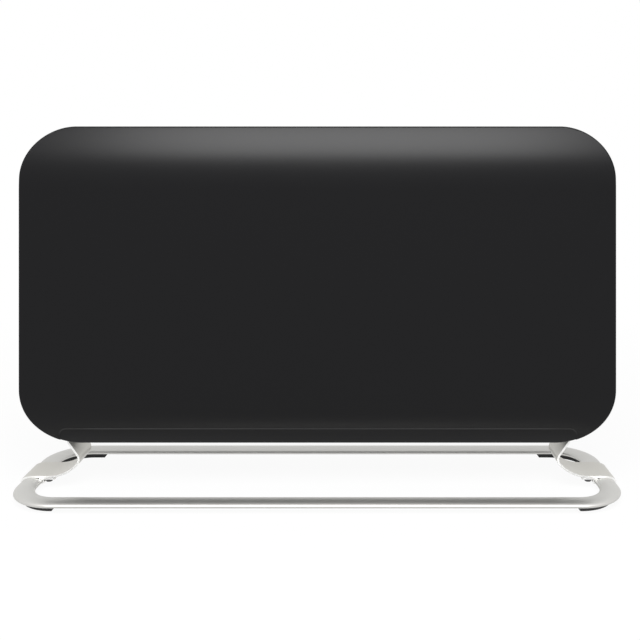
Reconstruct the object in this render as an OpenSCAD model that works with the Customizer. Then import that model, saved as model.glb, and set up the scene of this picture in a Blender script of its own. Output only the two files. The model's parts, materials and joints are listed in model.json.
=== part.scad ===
// Free-standing convector heater: two pressed steel shells round a finned element,
// on an oval tube ring that two ribbon brackets hold. Millimetres, +Z up, the floor at z = 0,
// the front towards -Y, the controls on the right end at +X.

/* [Body] */
// Width over both shells
body_w = 699; // [620:1:740]
// Depth over both shells at mid height
body_d = 100; // [94:1:110]
// Height of the shells' lower edge above the floor
body_z0 = 57; // [56:0.5:60]
// Height of the shells
body_h = 378; // [360:1:420]
// Corner radius of the outline at the top
corner_top_r = 61; // [50:1:64]
// Corner radius of the outline at the bottom
corner_bottom_r = 68; // [60:1:72]
// Height over which each face leans in at the top and the bottom
bend_h = 75; // [68:1:78]
// How far each face leans in there
bend_set = 20; // [17:0.5:21]
// Thickness of the shells' sheet
sheet_t = 1; // [0.7:0.1:1.2]
// Depth of the flange that the sheet's edge is turned into
shell_flange = 5; // [4:0.5:6]
// Height of the pressed step along the shells' lower edge
step_h = 20.6; // [17:0.2:24]
// Distance from the step's end to the shell's side
step_side = 42.5; // [38:0.5:50]
// Depth of the pressed step
step_depth = 1.5; // [1:0.1:2]
// Corner radius of the pressed step
step_r = 10; // [6:1:14]

/* [Base ring] */
// How far the ring reaches beyond the shells at each end
ring_over = 5.5; // [5:0.1:6]
// Depth of the ring
ring_d = 194; // [186:1:220]
// Width of the oval tube
tube_w = 24; // [23:0.2:25]
// Height of the oval tube
tube_h = 8; // [7.6:0.1:8.6]
// Wall of the tube
tube_wall = 1.5; // [1:0.1:2]
// Corner radius of the tube's centre line
ring_r = 44; // [38:1:50]

/* [Pads] */
// Height of the pads under the tube
pad_h = 5.2; // [5:0.1:6]
// Width of a pad
pad_w = 5; // [4:0.5:8]
// How far a pad reaches outward from the tube's middle
pad_out = 1.5; // [1:0.5:3]
// Angle of the corner that a pad follows
pad_turn = 73; // [60:1:84]
// Straight run of a rear pad along the rear tube
pad_run_rear = 16; // [12:1:24]
// Straight run of a front pad along the front tube
pad_run_front = 5; // [4.5:0.5:12]
// Slant at a pad's end
pad_slant = 4; // [2:0.5:5]

/* [Brackets] */
// Thickness of the ribbon
ribbon_t = 2.5; // [2:0.1:2.8]
// Width of the ribbon
ribbon_w = 46; // [44:1:48]
// Width of the tongue inside the body
tongue_w = 42; // [38:1:43]
// Radius of the ribbon's long bend
long_r = 46.5; // [45.5:0.1:47.5]
// Turn of the long bend
long_turn = 46.6; // [46:0.1:47.5]
// Radius of the ribbon's tight bend
tight_r = 9; // [8.5:0.1:9.5]
// Slope of the ribbon's upper run
rise_angle = 54.5; // [53.5:0.1:55.5]
// Length of ribbon between the tube's middle and the long bend
ribbon_lead = 19; // [18.5:0.1:19.5]
// Angle at which the saddle ends on the tube's outer side
saddle_open = -12; // [-20:1:30]
// Gap between the ribbon's shoulder and the shells
shoulder_gap = 0.5; // [0.5:0.1:1.5]
// Length of the whole upper run
rise_l = 54; // [52.5:0.5:55.5]
// Place of the screws along the upper run
tongue_screw_s = 48; // [47:0.5:49]
// Distance between the two screws of a tongue
tongue_screw_pitch = 24; // [20:1:26]
// Thickness of the clip on the tube's inner side
clip_t = 2; // [1.6:0.1:2.2]
// Length of the clip's flat tab
clip_tab = 13; // [12:0.5:13.5]
// Angle that the clip's lip reaches below the tube's middle
clip_reach = 35; // [25:1:40]
// Distance between the two nuts of a clip
clip_pitch = 36; // [28:1:37]

/* [End caps] */
// How far the caps and grilles lie inside the shells' outline
cap_inset = 3; // [2.5:0.1:3.5]
// Wall of the caps
cap_wall = 2.5; // [2:0.1:2.8]
// Length of a cap's band, from the shells' side
cap_l = 69.5; // [66:0.5:79]
// Gap between the moulded caps and the sheet round them
fit_gap = 0.3; // [0.2:0.05:0.5]
// Width of the hand grip
grip_w = 34; // [30:1:38]
// Height of the hand grip
grip_h = 82; // [76:1:86]
// Depth of the hand grip
grip_depth = 20; // [18:0.5:20.5]
// Height of the hand grip's middle above the body's lower edge
grip_up = 251; // [248:1:254]
// Width of the recess that holds the controls
panel_w = 50; // [46:1:54]
// Height of the recess that holds the controls
panel_h = 118; // [114:1:120]
// Depth of the recess that holds the controls
panel_depth = 6.5; // [5:0.5:7]
// Height of that recess's middle above the body's lower edge
panel_up = 137; // [135:1:139]
// Sideways distance from the heater's middle plane to the caps' screws
boss_y = 39; // [38:0.5:40]

/* [Grilles] */
// Height of the outlet grille's blades and frame
grille_h = 15; // [12:0.5:16]
// Width of the frame strip along a grille
grille_rail = 5.5; // [4.5:0.5:6]
// Depth over the outlet grille
outlet_d = 55; // [50:1:56]
// Depth over the inlet grille
inlet_d = 50; // [46:1:52]
// Number of blades
blades = 4; // [3:1:5]
// Height of a blade across its slope
blade_h = 12; // [10:0.5:13]
// Thickness of a blade
blade_t = 2; // [1.6:0.2:2.4]
// Lean of the blades towards the front
blade_lean = 32; // [20:1:40]
// Number of ribs that tie the blades
ribs = 13; // [9:1:15]
// Thickness of the inlet grille
inlet_t = 2.5; // [2:0.5:4]
// Number of slots along the inlet grille
inlet_slots = 22; // [16:1:24]

/* [Frame and duct] */
// Thickness of the end frames' sheet
frame_t = 1.5; // [1.2:0.1:1.6]
// Distance from the shells' side to the outer face of an end frame
frame_inset = 27.5; // [27:0.5:28.5]
// Width of the end frames' flanges
frame_flange = 16; // [14:1:18]
// Thickness of the rails' sheet
rail_t = 1.2; // [1:0.1:1.4]
// Height of the rails' outer flange
rail_h = 13; // [12:0.5:14]
// Depth of the duct between the liners
duct_d = 56; // [54:1:58]
// Thickness of the liners' sheet
liner_t = 0.8; // [0.6:0.1:1]
// Distance from an end frame's outer face to the duct end beside it
duct_end_gap = 24; // [23:1:26]

/* [Heating element] */
// Diameter of the sheath
sheath_d = 8; // [7:0.5:8.5]
// Distance between the two runs of the sheath
sheath_pitch = 22; // [20:1:24]
// Height of the sheath above the body's lower edge
sheath_up = 122; // [120:1:126]
// Thickness of a fin
fin_t = 0.5; // [0.4:0.1:0.8]
// Distance from fin to fin
fin_pitch = 8; // [7:0.5:10]
// Width of a fin
fin_w = 48; // [44:1:50]
// Height of a fin
fin_h = 32; // [28:1:36]

/* [Controls] */
// Diameter of the thermostat knob's skirt
knob_d = 36; // [32:1:40]
// Length of the thermostat knob
knob_l = 12; // [11:0.5:12.5]
// Number of grooves round the knob
knob_grooves = 24; // [16:1:30]
// Diameter of the thermostat's spindle
spindle_d = 6; // [5:0.5:6]
// Radial gap between a turning pin or spindle and its bore
run_gap = 0.05; // [0.02:0.01:0.1]
// Distance between the two rocker switches
switch_pitch = 22; // [20:1:24]
// Width of a rocker
rocker_w = 10.8; // [10:0.2:11]
// Height of a rocker
rocker_h = 21.2; // [20:0.2:22]
// Travel of a rocker in degrees
rocker_travel = 16; // [12:1:18]
// Diameter of the pilot lamp's lens
lamp_d = 8; // [6:0.5:9]
// Diameter of the hole through the cord inlet
gland_bore = 7.6; // [7:0.1:8]

/* [Fasteners] */
// Diameter of the caps' and grilles' screws
screw_3 = 3.1; // [2.8:0.1:3.2]
// Diameter of the shells' screws and of all studs
screw_4 = 4; // [3.6:0.1:4.2]
// Diameter of the tongues' screws
screw_5 = 5; // [4.6:0.1:5.4]

/* [Hidden] */
$fn = 72;

body_z1 = body_z0 + body_h;
ring_w = body_w + 2*ring_over;
cap_x = body_w/2 - cap_l;
frame_x = body_w/2 - frame_inset;
duct_end_x = frame_x - duct_end_gap;
bend_r = (bend_h*bend_h + bend_set*bend_set)/(2*bend_set);
flat_z0 = body_z0 + bend_h;
flat_z1 = body_z1 - bend_h;
over = 10;

tube_x = ring_w/2 - tube_w/2;
tube_y = ring_d/2 - tube_w/2;
tube_z = pad_h + tube_h/2;
ring_cx = tube_x - ring_r;
ring_cy = tube_y - ring_r;

// The ribbon's centre line: a flat on the tube, a long bend, a tight bend, a sloping run
ribbon_z = tube_z + tube_h/2 + ribbon_t/2;
long_x = tube_x - ribbon_lead;
long_z = ribbon_z + long_r;
tight_x = long_x - (long_r - tight_r)*sin(long_turn);
tight_z = long_z - (long_r - tight_r)*cos(long_turn);
rise_x = tight_x - tight_r*sin(rise_angle);
rise_z = tight_z + tight_r*cos(rise_angle);
shoulder_s = (body_z0 - shoulder_gap - rise_z)/sin(rise_angle);
saddle_gap = 0.01;
clip_gap = 0.15;
clip_stud = 5.4;
clip_top = 50;

cap_face_x = body_w/2 - cap_inset;
grip_z = body_z0 + grip_up;
grip_r = grip_w/2 - 1;
panel_z = body_z0 + panel_up;
panel_x = cap_face_x - panel_depth;
boss_zs = [flat_z0 + 27, flat_z1 - 25];
boss_d = 10;
boss_sink = 4.5;
cap_ledge = 12;
cap_ledge_t = 3;

outlet_top = body_z1 - sheet_t - fit_gap;
inlet_bottom = body_z0 + sheet_t + fit_gap;
grille_x = cap_x - fit_gap;
blade_span = outlet_d - 2*grille_rail;
end_bar = 12;
grille_screw_y = 14;
slot_gap = 7;
slot_w = 9;

frame_y = body_d/2 - sheet_t;
frame_z0 = flat_z0 + 3;
frame_z1 = flat_z1 - 3;
window_y = 30;
window_z0 = flat_z0 + 13;
window_z1 = flat_z1 - 20;
rail_y = frame_y - frame_t;
rail_web_low = frame_z0 + rail_h;
rail_web_high = frame_z1 - rail_h;
duct_y = duct_d/2;
vent_pitch = 30;
duct_flange = 10;
shell_screw_x = frame_x - frame_t - frame_flange/2;
shell_screw_zs = [frame_z0 + rail_h/2, (frame_z0 + frame_z1)/2, frame_z1 - rail_h/2];
fold_r = 5;
foot_s = 29;
foot_w = tongue_w - 4;

sheath_z = body_z0 + sheath_up;
sheath_y = sheath_pitch/2;
sheath_x0 = 28 - duct_end_x;
sheath_x1 = duct_end_x + 4;
fin_x0 = 50 - duct_end_x;
fin_x1 = duct_end_x - 18;
hanger_xs = [sheath_x0 + 7.5, 11.5];
hanger_t = 1;
hanger_flange = 5;
hanger_low = 15;
hanger_high = 17;
bush_gap = 0.15;
cutout_z = flat_z1 - 60;

knob_z = panel_z + 31;
knob_x = panel_x + 1;
knob_rest = 135;
key_depth = 1.2;
lamp_z = panel_z - 3;
switch_z = panel_z - 33;
rocker_x = panel_x - 3;
rocker_gap = 0.3;
rocker_end_gap = 1.1;
rocker_pin_d = 2.4;
rocker_stub = 0.9;
switch_w = rocker_w + 2*rocker_gap + 2*rocker_stub;
switch_h = rocker_h + 4;
behind_panel = panel_x - cap_wall;
blade_w = 6.2;
gland_x = frame_x - 37;
gland_z = flat_z0 + 39;
gland_hole = 12.4;
block_z = flat_z0 - 3;
earth_y = -25;

// Fasteners: holes, heads and nuts
hole_3 = screw_3 + 0.3;
hole_4 = screw_4 + 0.4;
hole_5 = screw_5 + 0.3;
head_3_d = 2*screw_3;
head_4_d = 1.9*screw_4;
head_4_h = 0.55*screw_4;
head_5_d = 1.72*screw_5;
head_5_h = 0.56*screw_5;
tongue_screw_l = 2*screw_5;
nut_4 = 2*screw_4;
nut_4_h = 0.8*screw_4;
nut_5 = 1.84*screw_5;
nut_5_h = 0.8*screw_5;
clip_nut_x = tube_x - tube_w/2 - clip_gap - clip_t - nut_4/2 - 0.35;

// Blocks and sheets

// A block from its low corner to its high corner
module span(a, b) translate(a) cube(b - a);

// A 2D shape in x and z, carried along y from y0 to y1
module across(y0, y1) translate([0, y1, 0]) rotate([90, 0, 0]) linear_extrude(y1 - y0) children();

// A 2D shape in y and z, carried along x from x0 to x1
module along(x0, x1) translate([x0, 0, 0]) rotate([90, 0, 90]) linear_extrude(x1 - x0) children();

// A cylinder along x, along y
module rod_x(x0, x1, y, z, d) translate([x0, y, z]) rotate([0, 90, 0]) cylinder(h = x1 - x0, d = d);
module rod_y(x, y0, y1, z, d) translate([x, y1, z]) rotate([90, 0, 0]) cylinder(h = y1 - y0, d = d);

// The points of an oval with half axes a and b, from angle a0 to angle a1, without the first one
// where skip is 1
function oval(x, z, a, b, a0, a1, skip = 0, n = 16) =
    [for (i = [skip:n]) let (t = a0 + (a1 - a0)*i/n) [x + a*cos(t), z + b*sin(t)]];

function arc(x, z, r, a0, a1, skip = 0, n = 16) = oval(x, z, r, r, a0, a1, skip, n);

// A quarter disc that points to the signs sx and sz
module quarter(x, z, r, sx, sz)
    intersection() {
        translate([x, z]) circle(r = r);
        translate([sx > 0 ? x : x - 2*r, sz > 0 ? z : z - 2*r]) square(2*r);
    }

// A rounded rectangle, w by h, about the origin
module rounded_2d(w, h, r) {
    translate([r - w/2, -h/2]) square([w - 2*r, h]);
    translate([-w/2, r - h/2]) square([w, h - 2*r]);
    for (sx = [-1, 1], sz = [-1, 1]) quarter(sx*(w/2 - r), sz*(h/2 - r), r, sx, sz);
}

// Both ends of the heater: the children and their mirror image
module both_ends() {
    children();
    mirror([1, 0, 0]) children();
}

module both_sides() {
    children();
    mirror([0, 1, 0]) children();
}

// The body's form

// Everything behind the front face, sunk by o: y and z as seen from the side
module behind_face_2d(o) {
    translate([o - body_d/2, flat_z0]) square([body_d, flat_z1 - flat_z0]);
    intersection() {
        translate([bend_r - body_d/2, flat_z0]) circle(r = bend_r - o);
        translate([-body_d, flat_z0 - bend_h - over]) square([2*body_d, bend_h + over]);
    }
    intersection() {
        translate([bend_r - body_d/2, flat_z1]) circle(r = bend_r - o);
        translate([-body_d, flat_z1]) square([2*body_d, bend_h + over]);
    }
}

module behind_face(o) along(-body_w/2 - over, body_w/2 + over) behind_face_2d(o);

// The shells' outline from the front, drawn in by g
module outline_2d(g) {
    w = body_w/2;
    translate([g - w, body_z0 + corner_bottom_r])
        square([2*(w - g), body_h - corner_bottom_r - corner_top_r]);
    translate([corner_bottom_r - w, body_z0 + g])
        square([2*(w - corner_bottom_r), corner_bottom_r - g]);
    translate([corner_top_r - w, body_z1 - corner_top_r])
        square([2*(w - corner_top_r), corner_top_r - g]);
    for (s = [-1, 1]) {
        quarter(s*(w - corner_bottom_r), body_z0 + corner_bottom_r, corner_bottom_r - g, s, -1);
        quarter(s*(w - corner_top_r), body_z1 - corner_top_r, corner_top_r - g, s, 1);
    }
}

// The pressed step's outline, grown by g
module step_2d(g) {
    w = body_w/2 - step_side + g;
    h = body_z0 + step_h + g;
    translate([-w, body_z0 - over]) square([2*w, h - step_r - body_z0 + over]);
    translate([step_r - w, h - step_r]) square([2*(w - step_r), step_r]);
    for (s = [-1, 1]) quarter(s*(w - step_r), h - step_r, step_r, s, 1);
}

// Everything behind the front sheet with its pressed step, at depth o below the outer face
module behind_sheet(o)
    difference() {
        behind_face(o);
        difference() {
            across(-body_d, 0) step_2d(o);
            behind_face(step_depth + o);
        }
    }

// The room between both shells, with the gap c all round
module between_shells(c)
    intersection() {
        behind_sheet(sheet_t + c);
        mirror([0, 1, 0]) behind_sheet(sheet_t + c);
    }

// A pressed shell: the leaning face, the step and the flange round its edge
module shell()
    difference() {
        intersection() {
            behind_sheet(0);
            across(-body_d/2 - over, -body_d/2 + bend_set + shell_flange) outline_2d(0);
        }
        intersection() {
            behind_sheet(sheet_t);
            across(-body_d, 0) outline_2d(sheet_t);
        }
        behind_face(shell_flange);
    }

module front_shell() color([0.13, 0.13, 0.14]) {
    shell();
    both_ends() for (z = shell_screw_zs) rod_y(shell_screw_x, (sheet_t - body_d)/2, -frame_y + 8, z, screw_4);
}

module rear_shell() color([0.13, 0.13, 0.14])
    difference() {
        mirror([0, 1, 0]) shell();
        both_ends() for (z = shell_screw_zs) rod_y(shell_screw_x, frame_y - 1, body_d/2 + 1, z, hole_4);
        rod_y(gland_x, frame_y - 1, body_d/2 + 1, gland_z, gland_hole);
    }

// The end caps

module cap_band()
    intersection() {
        difference() {
            across(-body_d/2, body_d/2) outline_2d(cap_inset);
            across(-body_d/2 - 1, body_d/2 + 1) outline_2d(cap_inset + cap_wall);
        }
        between_shells(fit_gap);
        span([cap_x, -body_d, 0], [body_w, body_d, body_z1]);
    }

// The ledges that the grilles' ends lie on
module cap_ledges() {
    z1 = outlet_top - grille_h - cap_ledge_t;
    span([cap_x - cap_ledge, -outlet_d/2, z1], [cap_x + cap_wall, outlet_d/2, z1 + cap_ledge_t]);
    span([cap_x, -outlet_d/2, z1], [cap_x + cap_wall, outlet_d/2, body_z1 - cap_inset - cap_wall/2]);
    z0 = inlet_bottom + inlet_t;
    span([cap_x - cap_ledge, -inlet_d/2, z0], [cap_x + cap_wall, inlet_d/2, z0 + cap_ledge_t]);
}

module grip_pocket(g)
    translate([0, 0, grip_z]) along(cap_face_x - grip_depth - g, cap_face_x + (g > 0 ? 0 : over))
        rounded_2d(grip_w + 2*g, grip_h + 2*g, grip_r + g);

module panel_pocket(g)
    translate([0, 0, panel_z]) along(panel_x - g, cap_face_x + (g > 0 ? 0 : over))
        rounded_2d(panel_w + 2*g, panel_h + 2*g, 8 + g);

module cap_bosses()
    for (s = [-1, 1], z = boss_zs) rod_x(frame_x, cap_face_x - 0.5, s*boss_y, z, boss_d);

module cap_boss_holes()
    for (s = [-1, 1], z = boss_zs) {
        rod_x(frame_x - 1, cap_face_x + 1, s*boss_y, z, hole_3);
        rod_x(cap_face_x - boss_sink, cap_face_x + 1, s*boss_y, z, boss_d - 2.4);
    }

module cap_grille_holes()
    for (s = [-1, 1], z = [inlet_bottom, outlet_top - grille_h - cap_ledge_t - 1])
        translate([cap_x - end_bar/2, s*grille_screw_y, z]) cylinder(h = inlet_t + cap_ledge_t + 2, d = hole_3);

// One end cap at +x: a band round the end with the hand grip moulded in
module cap_blank()
    difference() {
        union() {
            cap_band();
            cap_ledges();
            grip_pocket(cap_wall);
            cap_bosses();
        }
        grip_pocket(0);
        cap_boss_holes();
        cap_grille_holes();
        // The slot that the tongue comes through, long enough for its screws' heads
        span([rise_x + 10, -tongue_w/2 - 1, body_z0 - 1], [rise_x + 31, tongue_w/2 + 1, body_z0 + 20]);
    }

module end_cap_left() color([0.16, 0.16, 0.17]) mirror([1, 0, 0]) cap_blank();

module end_cap_right() color([0.16, 0.16, 0.17])
    difference() {
        union() {
            cap_blank();
            panel_pocket(cap_wall);
        }
        panel_pocket(0);
        rod_x(panel_x - 5, panel_x + 5, 0, knob_z, 10.4);
        rod_x(panel_x - 5, panel_x + 5, 0, lamp_z, lamp_d + 0.3);
        for (s = [-1, 1])
            span([panel_x - 5, s*switch_pitch/2 - switch_w/2 - 0.2, switch_z - switch_h/2 - 0.2],
                [panel_x + 5, s*switch_pitch/2 + switch_w/2 + 0.2, switch_z + switch_h/2 + 0.2]);
    }

// The grilles

// A blade's cross-section: a strip with round edges
module blade_2d() {
    translate([-blade_t/2, (blade_t - blade_h)/2]) square([blade_t, blade_h - blade_t]);
    for (s = [-1, 1], t = [-1, 1]) quarter(0, s*(blade_h - blade_t)/2, blade_t/2, t, s);
}

module outlet_grille() color([0.16, 0.16, 0.17]) {
    z0 = outlet_top - grille_h;
    mid_z = outlet_top - 2 - blade_h/2;
    pitch = blade_span/blades;
    difference() {
        union() {
            // The frame
            both_sides() span([-grille_x, blade_span/2, z0], [grille_x, outlet_d/2, outlet_top]);
            both_ends() span([grille_x - end_bar, -outlet_d/2, z0], [grille_x, outlet_d/2, outlet_top]);
            // The blades
            for (i = [0:blades - 1])
                translate([0, (i + 0.5)*pitch - blade_span/2, mid_z])
                    along(1 - grille_x, grille_x - 1) rotate(blade_lean) blade_2d();
            // The ribs
            for (i = [1:ribs])
                translate([i*2*(grille_x - end_bar)/(ribs + 1) - grille_x + end_bar, 0, 0])
                    span([-1, -blade_span/2 - 1, z0], [1, blade_span/2 + 1, mid_z]);
        }
        both_ends() for (s = [-1, 1]) translate([grille_x + fit_gap - end_bar/2, s*grille_screw_y, z0 - 1]) {
            cylinder(h = grille_h + 2, d = hole_3);
            translate([0, 0, grille_h]) cylinder(h = 5, d = head_3_d + 0.4);
        }
    }
}

module inlet_grille() color([0.16, 0.16, 0.17]) {
    span_x = grille_x - end_bar;
    pitch = 2*span_x/inlet_slots;
    difference() {
        span([-grille_x, -inlet_d/2, inlet_bottom], [grille_x, inlet_d/2, inlet_bottom + inlet_t]);
        for (i = [0:inlet_slots - 1], s = [-1, 1])
            translate([(i + 0.5)*pitch - span_x, s*inlet_d/5, inlet_bottom - 1])
                slot(pitch - slot_gap, slot_w, inlet_t + 2);
        both_ends() for (s = [-1, 1])
            translate([grille_x + fit_gap - end_bar/2, s*grille_screw_y, inlet_bottom - 1])
                cylinder(h = inlet_t + 2, d = hole_3);
    }
}

// A slot with round ends, l long and w wide
module slot(l, w, h) {
    translate([w/2 - l/2, -w/2, 0]) cube([l - w, w, h]);
    for (s = [-1, 1]) translate([s*(l - w)/2, 0, 0]) cylinder(h = h, d = w);
}

// The frame that carries everything

// The side view of an end frame's foot: down the web, round the fold, along the tongue
function foot_points() =
    let (off = (ribbon_t + frame_t)/2,
        x = rise_x - off*sin(rise_angle),
        z = rise_z + off*cos(rise_angle),
        web_x = frame_x - frame_t/2,
        fold = 90 - rise_angle,
        corner_s = (web_x - x)/cos(rise_angle),
        fold_z = z + corner_s*sin(rise_angle) + fold_r*tan(fold/2),
        end_x = x + foot_s*cos(rise_angle),
        end_z = z + foot_s*sin(rise_angle),
        nx = frame_t/2*sin(rise_angle),
        nz = frame_t/2*cos(rise_angle))
    concat([[frame_x, flat_z0]], arc(web_x - fold_r, fold_z, fold_r + frame_t/2, 0, -fold),
        [[end_x + nx, end_z - nz], [end_x - nx, end_z + nz]],
        arc(web_x - fold_r, fold_z, fold_r - frame_t/2, -fold, 0), [[frame_x - frame_t, flat_z0]]);

// One end frame at +x: a channel that follows the shells, with a foot bent to lie on the tongue
module end_frame()
    difference() {
        union() {
            intersection() {
                span([frame_x - frame_t, -body_d, flat_z0 - 14], [frame_x, body_d, frame_z1 + 8]);
                between_shells(fit_gap);
            }
            across(-foot_w/2, foot_w/2) polygon(foot_points());
            both_sides() span([frame_x - frame_t - frame_flange, frame_y - frame_t, frame_z0],
                [frame_x, frame_y, frame_z1]);
        }
        span([frame_x - 5, -window_y, window_z0], [frame_x + 5, window_y, window_z1]);
        both_sides() for (z = shell_screw_zs) rod_y(shell_screw_x, rail_y - 1, frame_y + 1, z, hole_4);
        for (s = [-1, 1], z = boss_zs) rod_x(frame_x - 5, frame_x + 5, s*boss_y, z, hole_3);
        tongue_holes(hole_5);
    }

// The holes for a tongue's screws, through ribbon and foot
module tongue_holes(d)
    translate([rise_x, 0, rise_z]) rotate([0, -rise_angle, 0])
        for (s = [-1, 1]) translate([tongue_screw_s, s*tongue_screw_pitch/2, -ribbon_t])
            cylinder(h = 3*ribbon_t, d = d);

module end_frame_left() color([0.72, 0.73, 0.74]) mirror([1, 0, 0]) end_frame();
module end_frame_right() color([0.72, 0.73, 0.74])
    difference() {
        end_frame();
        rod_x(frame_x - 5, frame_x + 5, earth_y, block_z, 3.8);
    }

// One rail at +y: an outer flange in the end frames' flanges, a web, an inner flange at the liner
module rail(web_z, up) {
    x = frame_x - frame_t;
    s = up ? 1 : -1;
    w = rail_y - duct_y - liner_t;
    vents = floor((x - 40)/vent_pitch);
    difference() {
        union() {
            span([-x, rail_y - rail_t, min(web_z, web_z + s*rail_h)],
                [x, rail_y, max(web_z, web_z + s*rail_h)]);
            span([-x, duct_y + liner_t, min(web_z, web_z + s*rail_t)],
                [x, rail_y, max(web_z, web_z + s*rail_t)]);
            span([-x, duct_y + liner_t, min(web_z + s*rail_t, web_z - s*rail_h)],
                [x, duct_y + liner_t + rail_t, max(web_z + s*rail_t, web_z - s*rail_h)]);
        }
        // Vent slots through the web
        for (i = [-vents:vents]) translate([i*vent_pitch, rail_y - w/2, web_z - 5]) slot(20, 6, 10);
        both_ends() for (z = shell_screw_zs) rod_y(shell_screw_x, rail_y - 5, rail_y + 1, z, hole_4);
    }
}

module upper_rails() color([0.72, 0.73, 0.74]) both_sides() rail(rail_web_high, true);
module lower_rails() color([0.72, 0.73, 0.74]) both_sides() rail(rail_web_low, false);

// The duct's liners stand between the rails' inner flanges
module liner() {
    x = frame_x - frame_t;
    span([-x, duct_y, rail_web_low + rail_t], [x, duct_y + liner_t, rail_web_high - rail_t]);
}

module front_liner() color([0.8, 0.81, 0.82]) mirror([0, 1, 0]) liner();
module rear_liner() color([0.8, 0.81, 0.82]) liner();

// A duct end: a plate with flanges against both liners
module duct_end() {
    z0 = rail_web_low + 2;
    z1 = rail_web_high - 2;
    span([duct_end_x, -duct_y, z0], [duct_end_x + liner_t, duct_y, z1]);
    both_sides() span([duct_end_x, duct_y - liner_t, z0], [duct_end_x + duct_flange, duct_y, z1]);
}

module duct_end_left() color([0.8, 0.81, 0.82]) mirror([1, 0, 0]) duct_end();
module duct_end_right() color([0.8, 0.81, 0.82])
    difference() {
        duct_end();
        for (s = [-1, 1])
            rod_x(duct_end_x - 2, duct_end_x + 3, s*sheath_y, sheath_z, sheath_d + 4 + 2*bush_gap);
        rod_x(duct_end_x - 2, duct_end_x + 3, 0, cutout_z, 12.4);
    }

// The heating element

// One unbroken hairpin: two runs and the bend that joins them
module element_sheath() color([0.45, 0.43, 0.42]) {
    for (s = [-1, 1]) rod_x(sheath_x0, sheath_x1, s*sheath_y, sheath_z, sheath_d);
    translate([sheath_x0, 0, sheath_z]) rotate([0, 0, 90])
        rotate_extrude(angle = 180) translate([sheath_y, 0]) circle(d = sheath_d);
}

// A fin has a collar round each run
module fin()
    difference() {
        union() {
            span([0, -fin_w/2, sheath_z - fin_h/2], [fin_t, fin_w/2, sheath_z + fin_h/2]);
            for (s = [-1, 1]) rod_x(0, 3, s*sheath_y, sheath_z, sheath_d + 2);
        }
        for (s = [-1, 1]) rod_x(-1, 4, s*sheath_y, sheath_z, sheath_d + 0.2);
    }

module element_fins() color([0.78, 0.79, 0.8])
    for (i = [0:floor((fin_x1 - fin_x0)/fin_pitch)]) {
        x = fin_x0 + i*fin_pitch;
        if (abs(x + fin_t/2 - hanger_xs[1] - hanger_t/2) > fin_pitch - 1) translate([x, 0, 0]) fin();
    }

module element_hangers() color([0.8, 0.81, 0.82])
    for (x = hanger_xs)
        difference() {
            union() {
                span([x, -duct_y, sheath_z - hanger_low], [x + hanger_t, duct_y, sheath_z + hanger_high]);
                both_sides() span([x, duct_y - hanger_t, sheath_z - hanger_low],
                    [x + hanger_flange, duct_y, sheath_z + hanger_high]);
            }
            for (s = [-1, 1]) rod_x(x - 2, x + 7, s*sheath_y, sheath_z, sheath_d + 4 + 2*bush_gap);
        }

// A bush: a sleeve through the plate with a collar in front of it
module bush(x, t)
    difference() {
        union() {
            rod_x(x - 2.5, x + t + 2.5, 0, 0, sheath_d + 4);
            rod_x(x - 2.5, x - bush_gap, 0, 0, sheath_d + 7);
        }
        rod_x(x - 4, x + t + 4, 0, 0, sheath_d + 2*bush_gap);
    }

module ceramic_bushes() color([0.93, 0.91, 0.86])
    for (s = [-1, 1]) translate([0, s*sheath_y, sheath_z]) {
        for (x = hanger_xs) bush(x, hanger_t);
        bush(duct_end_x, liner_t);
    }

module terminal_pins() color([0.75, 0.76, 0.77])
    for (s = [-1, 1]) {
        rod_x(sheath_x1, sheath_x1 + 4, s*sheath_y, sheath_z, 3.2);
        span([sheath_x1 + 4, s*sheath_y - 0.4, sheath_z - blade_w/2],
            [sheath_x1 + 12, s*sheath_y + 0.4, sheath_z + blade_w/2]);
    }

// The bimetal cut-out on the right duct end, with its blade terminals
module overheat_cutout() color([0.2, 0.17, 0.14]) {
    x = duct_end_x + liner_t;
    rod_x(x, x + 7, 0, cutout_z, 16);
    span([x, -2.5, cutout_z - 13], [x + 1, 2.5, cutout_z + 13]);
    for (s = [-1, 1])
        span([x + 7, s*4.5 - 0.4, cutout_z - blade_w/2], [x + 15, s*4.5 + 0.4, cutout_z + blade_w/2]);
}

// The controls

module thermostat_body() color([0.86, 0.84, 0.78])
    difference() {
        union() {
            translate([0, 0, knob_z]) along(behind_panel - 20, behind_panel) rounded_2d(32, 34, 3);
            rod_x(behind_panel, panel_x + 5, 0, knob_z, 9.8);
            for (s = [-1, 1])
                span([behind_panel - 28, s*9 - blade_w/2, knob_z - 0.4],
                    [behind_panel - 20, s*9 + blade_w/2, knob_z + 0.4]);
        }
        rod_x(behind_panel - 16, panel_x + 6, 0, knob_z, spindle_d + 2*run_gap);
    }

module thermostat_nut() color([0.75, 0.76, 0.77])
    translate([panel_x, 0, knob_z]) rotate([0, 90, 0])
        difference() {
            cylinder(h = 2.5, d = 16, $fn = 6);
            translate([0, 0, -1]) cylinder(h = 5, d = 10);
        }

// The flat that keys the knob to its spindle, from x0 on, drawn off by gap
module key_flat(x0, gap)
    span([x0, -spindle_d, knob_z + spindle_d/2 - key_depth + gap], [x0 + 20, spindle_d, knob_z + spindle_d]);

// Knob and spindle as they stand at the lowest setting
module thermostat_spindle() color([0.75, 0.68, 0.45])
    turned_about_knob(knob_rest) difference() {
        rod_x(behind_panel - 15, knob_x + knob_l - 2, 0, knob_z, spindle_d);
        key_flat(panel_x + 5.5, 0);
    }

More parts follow.
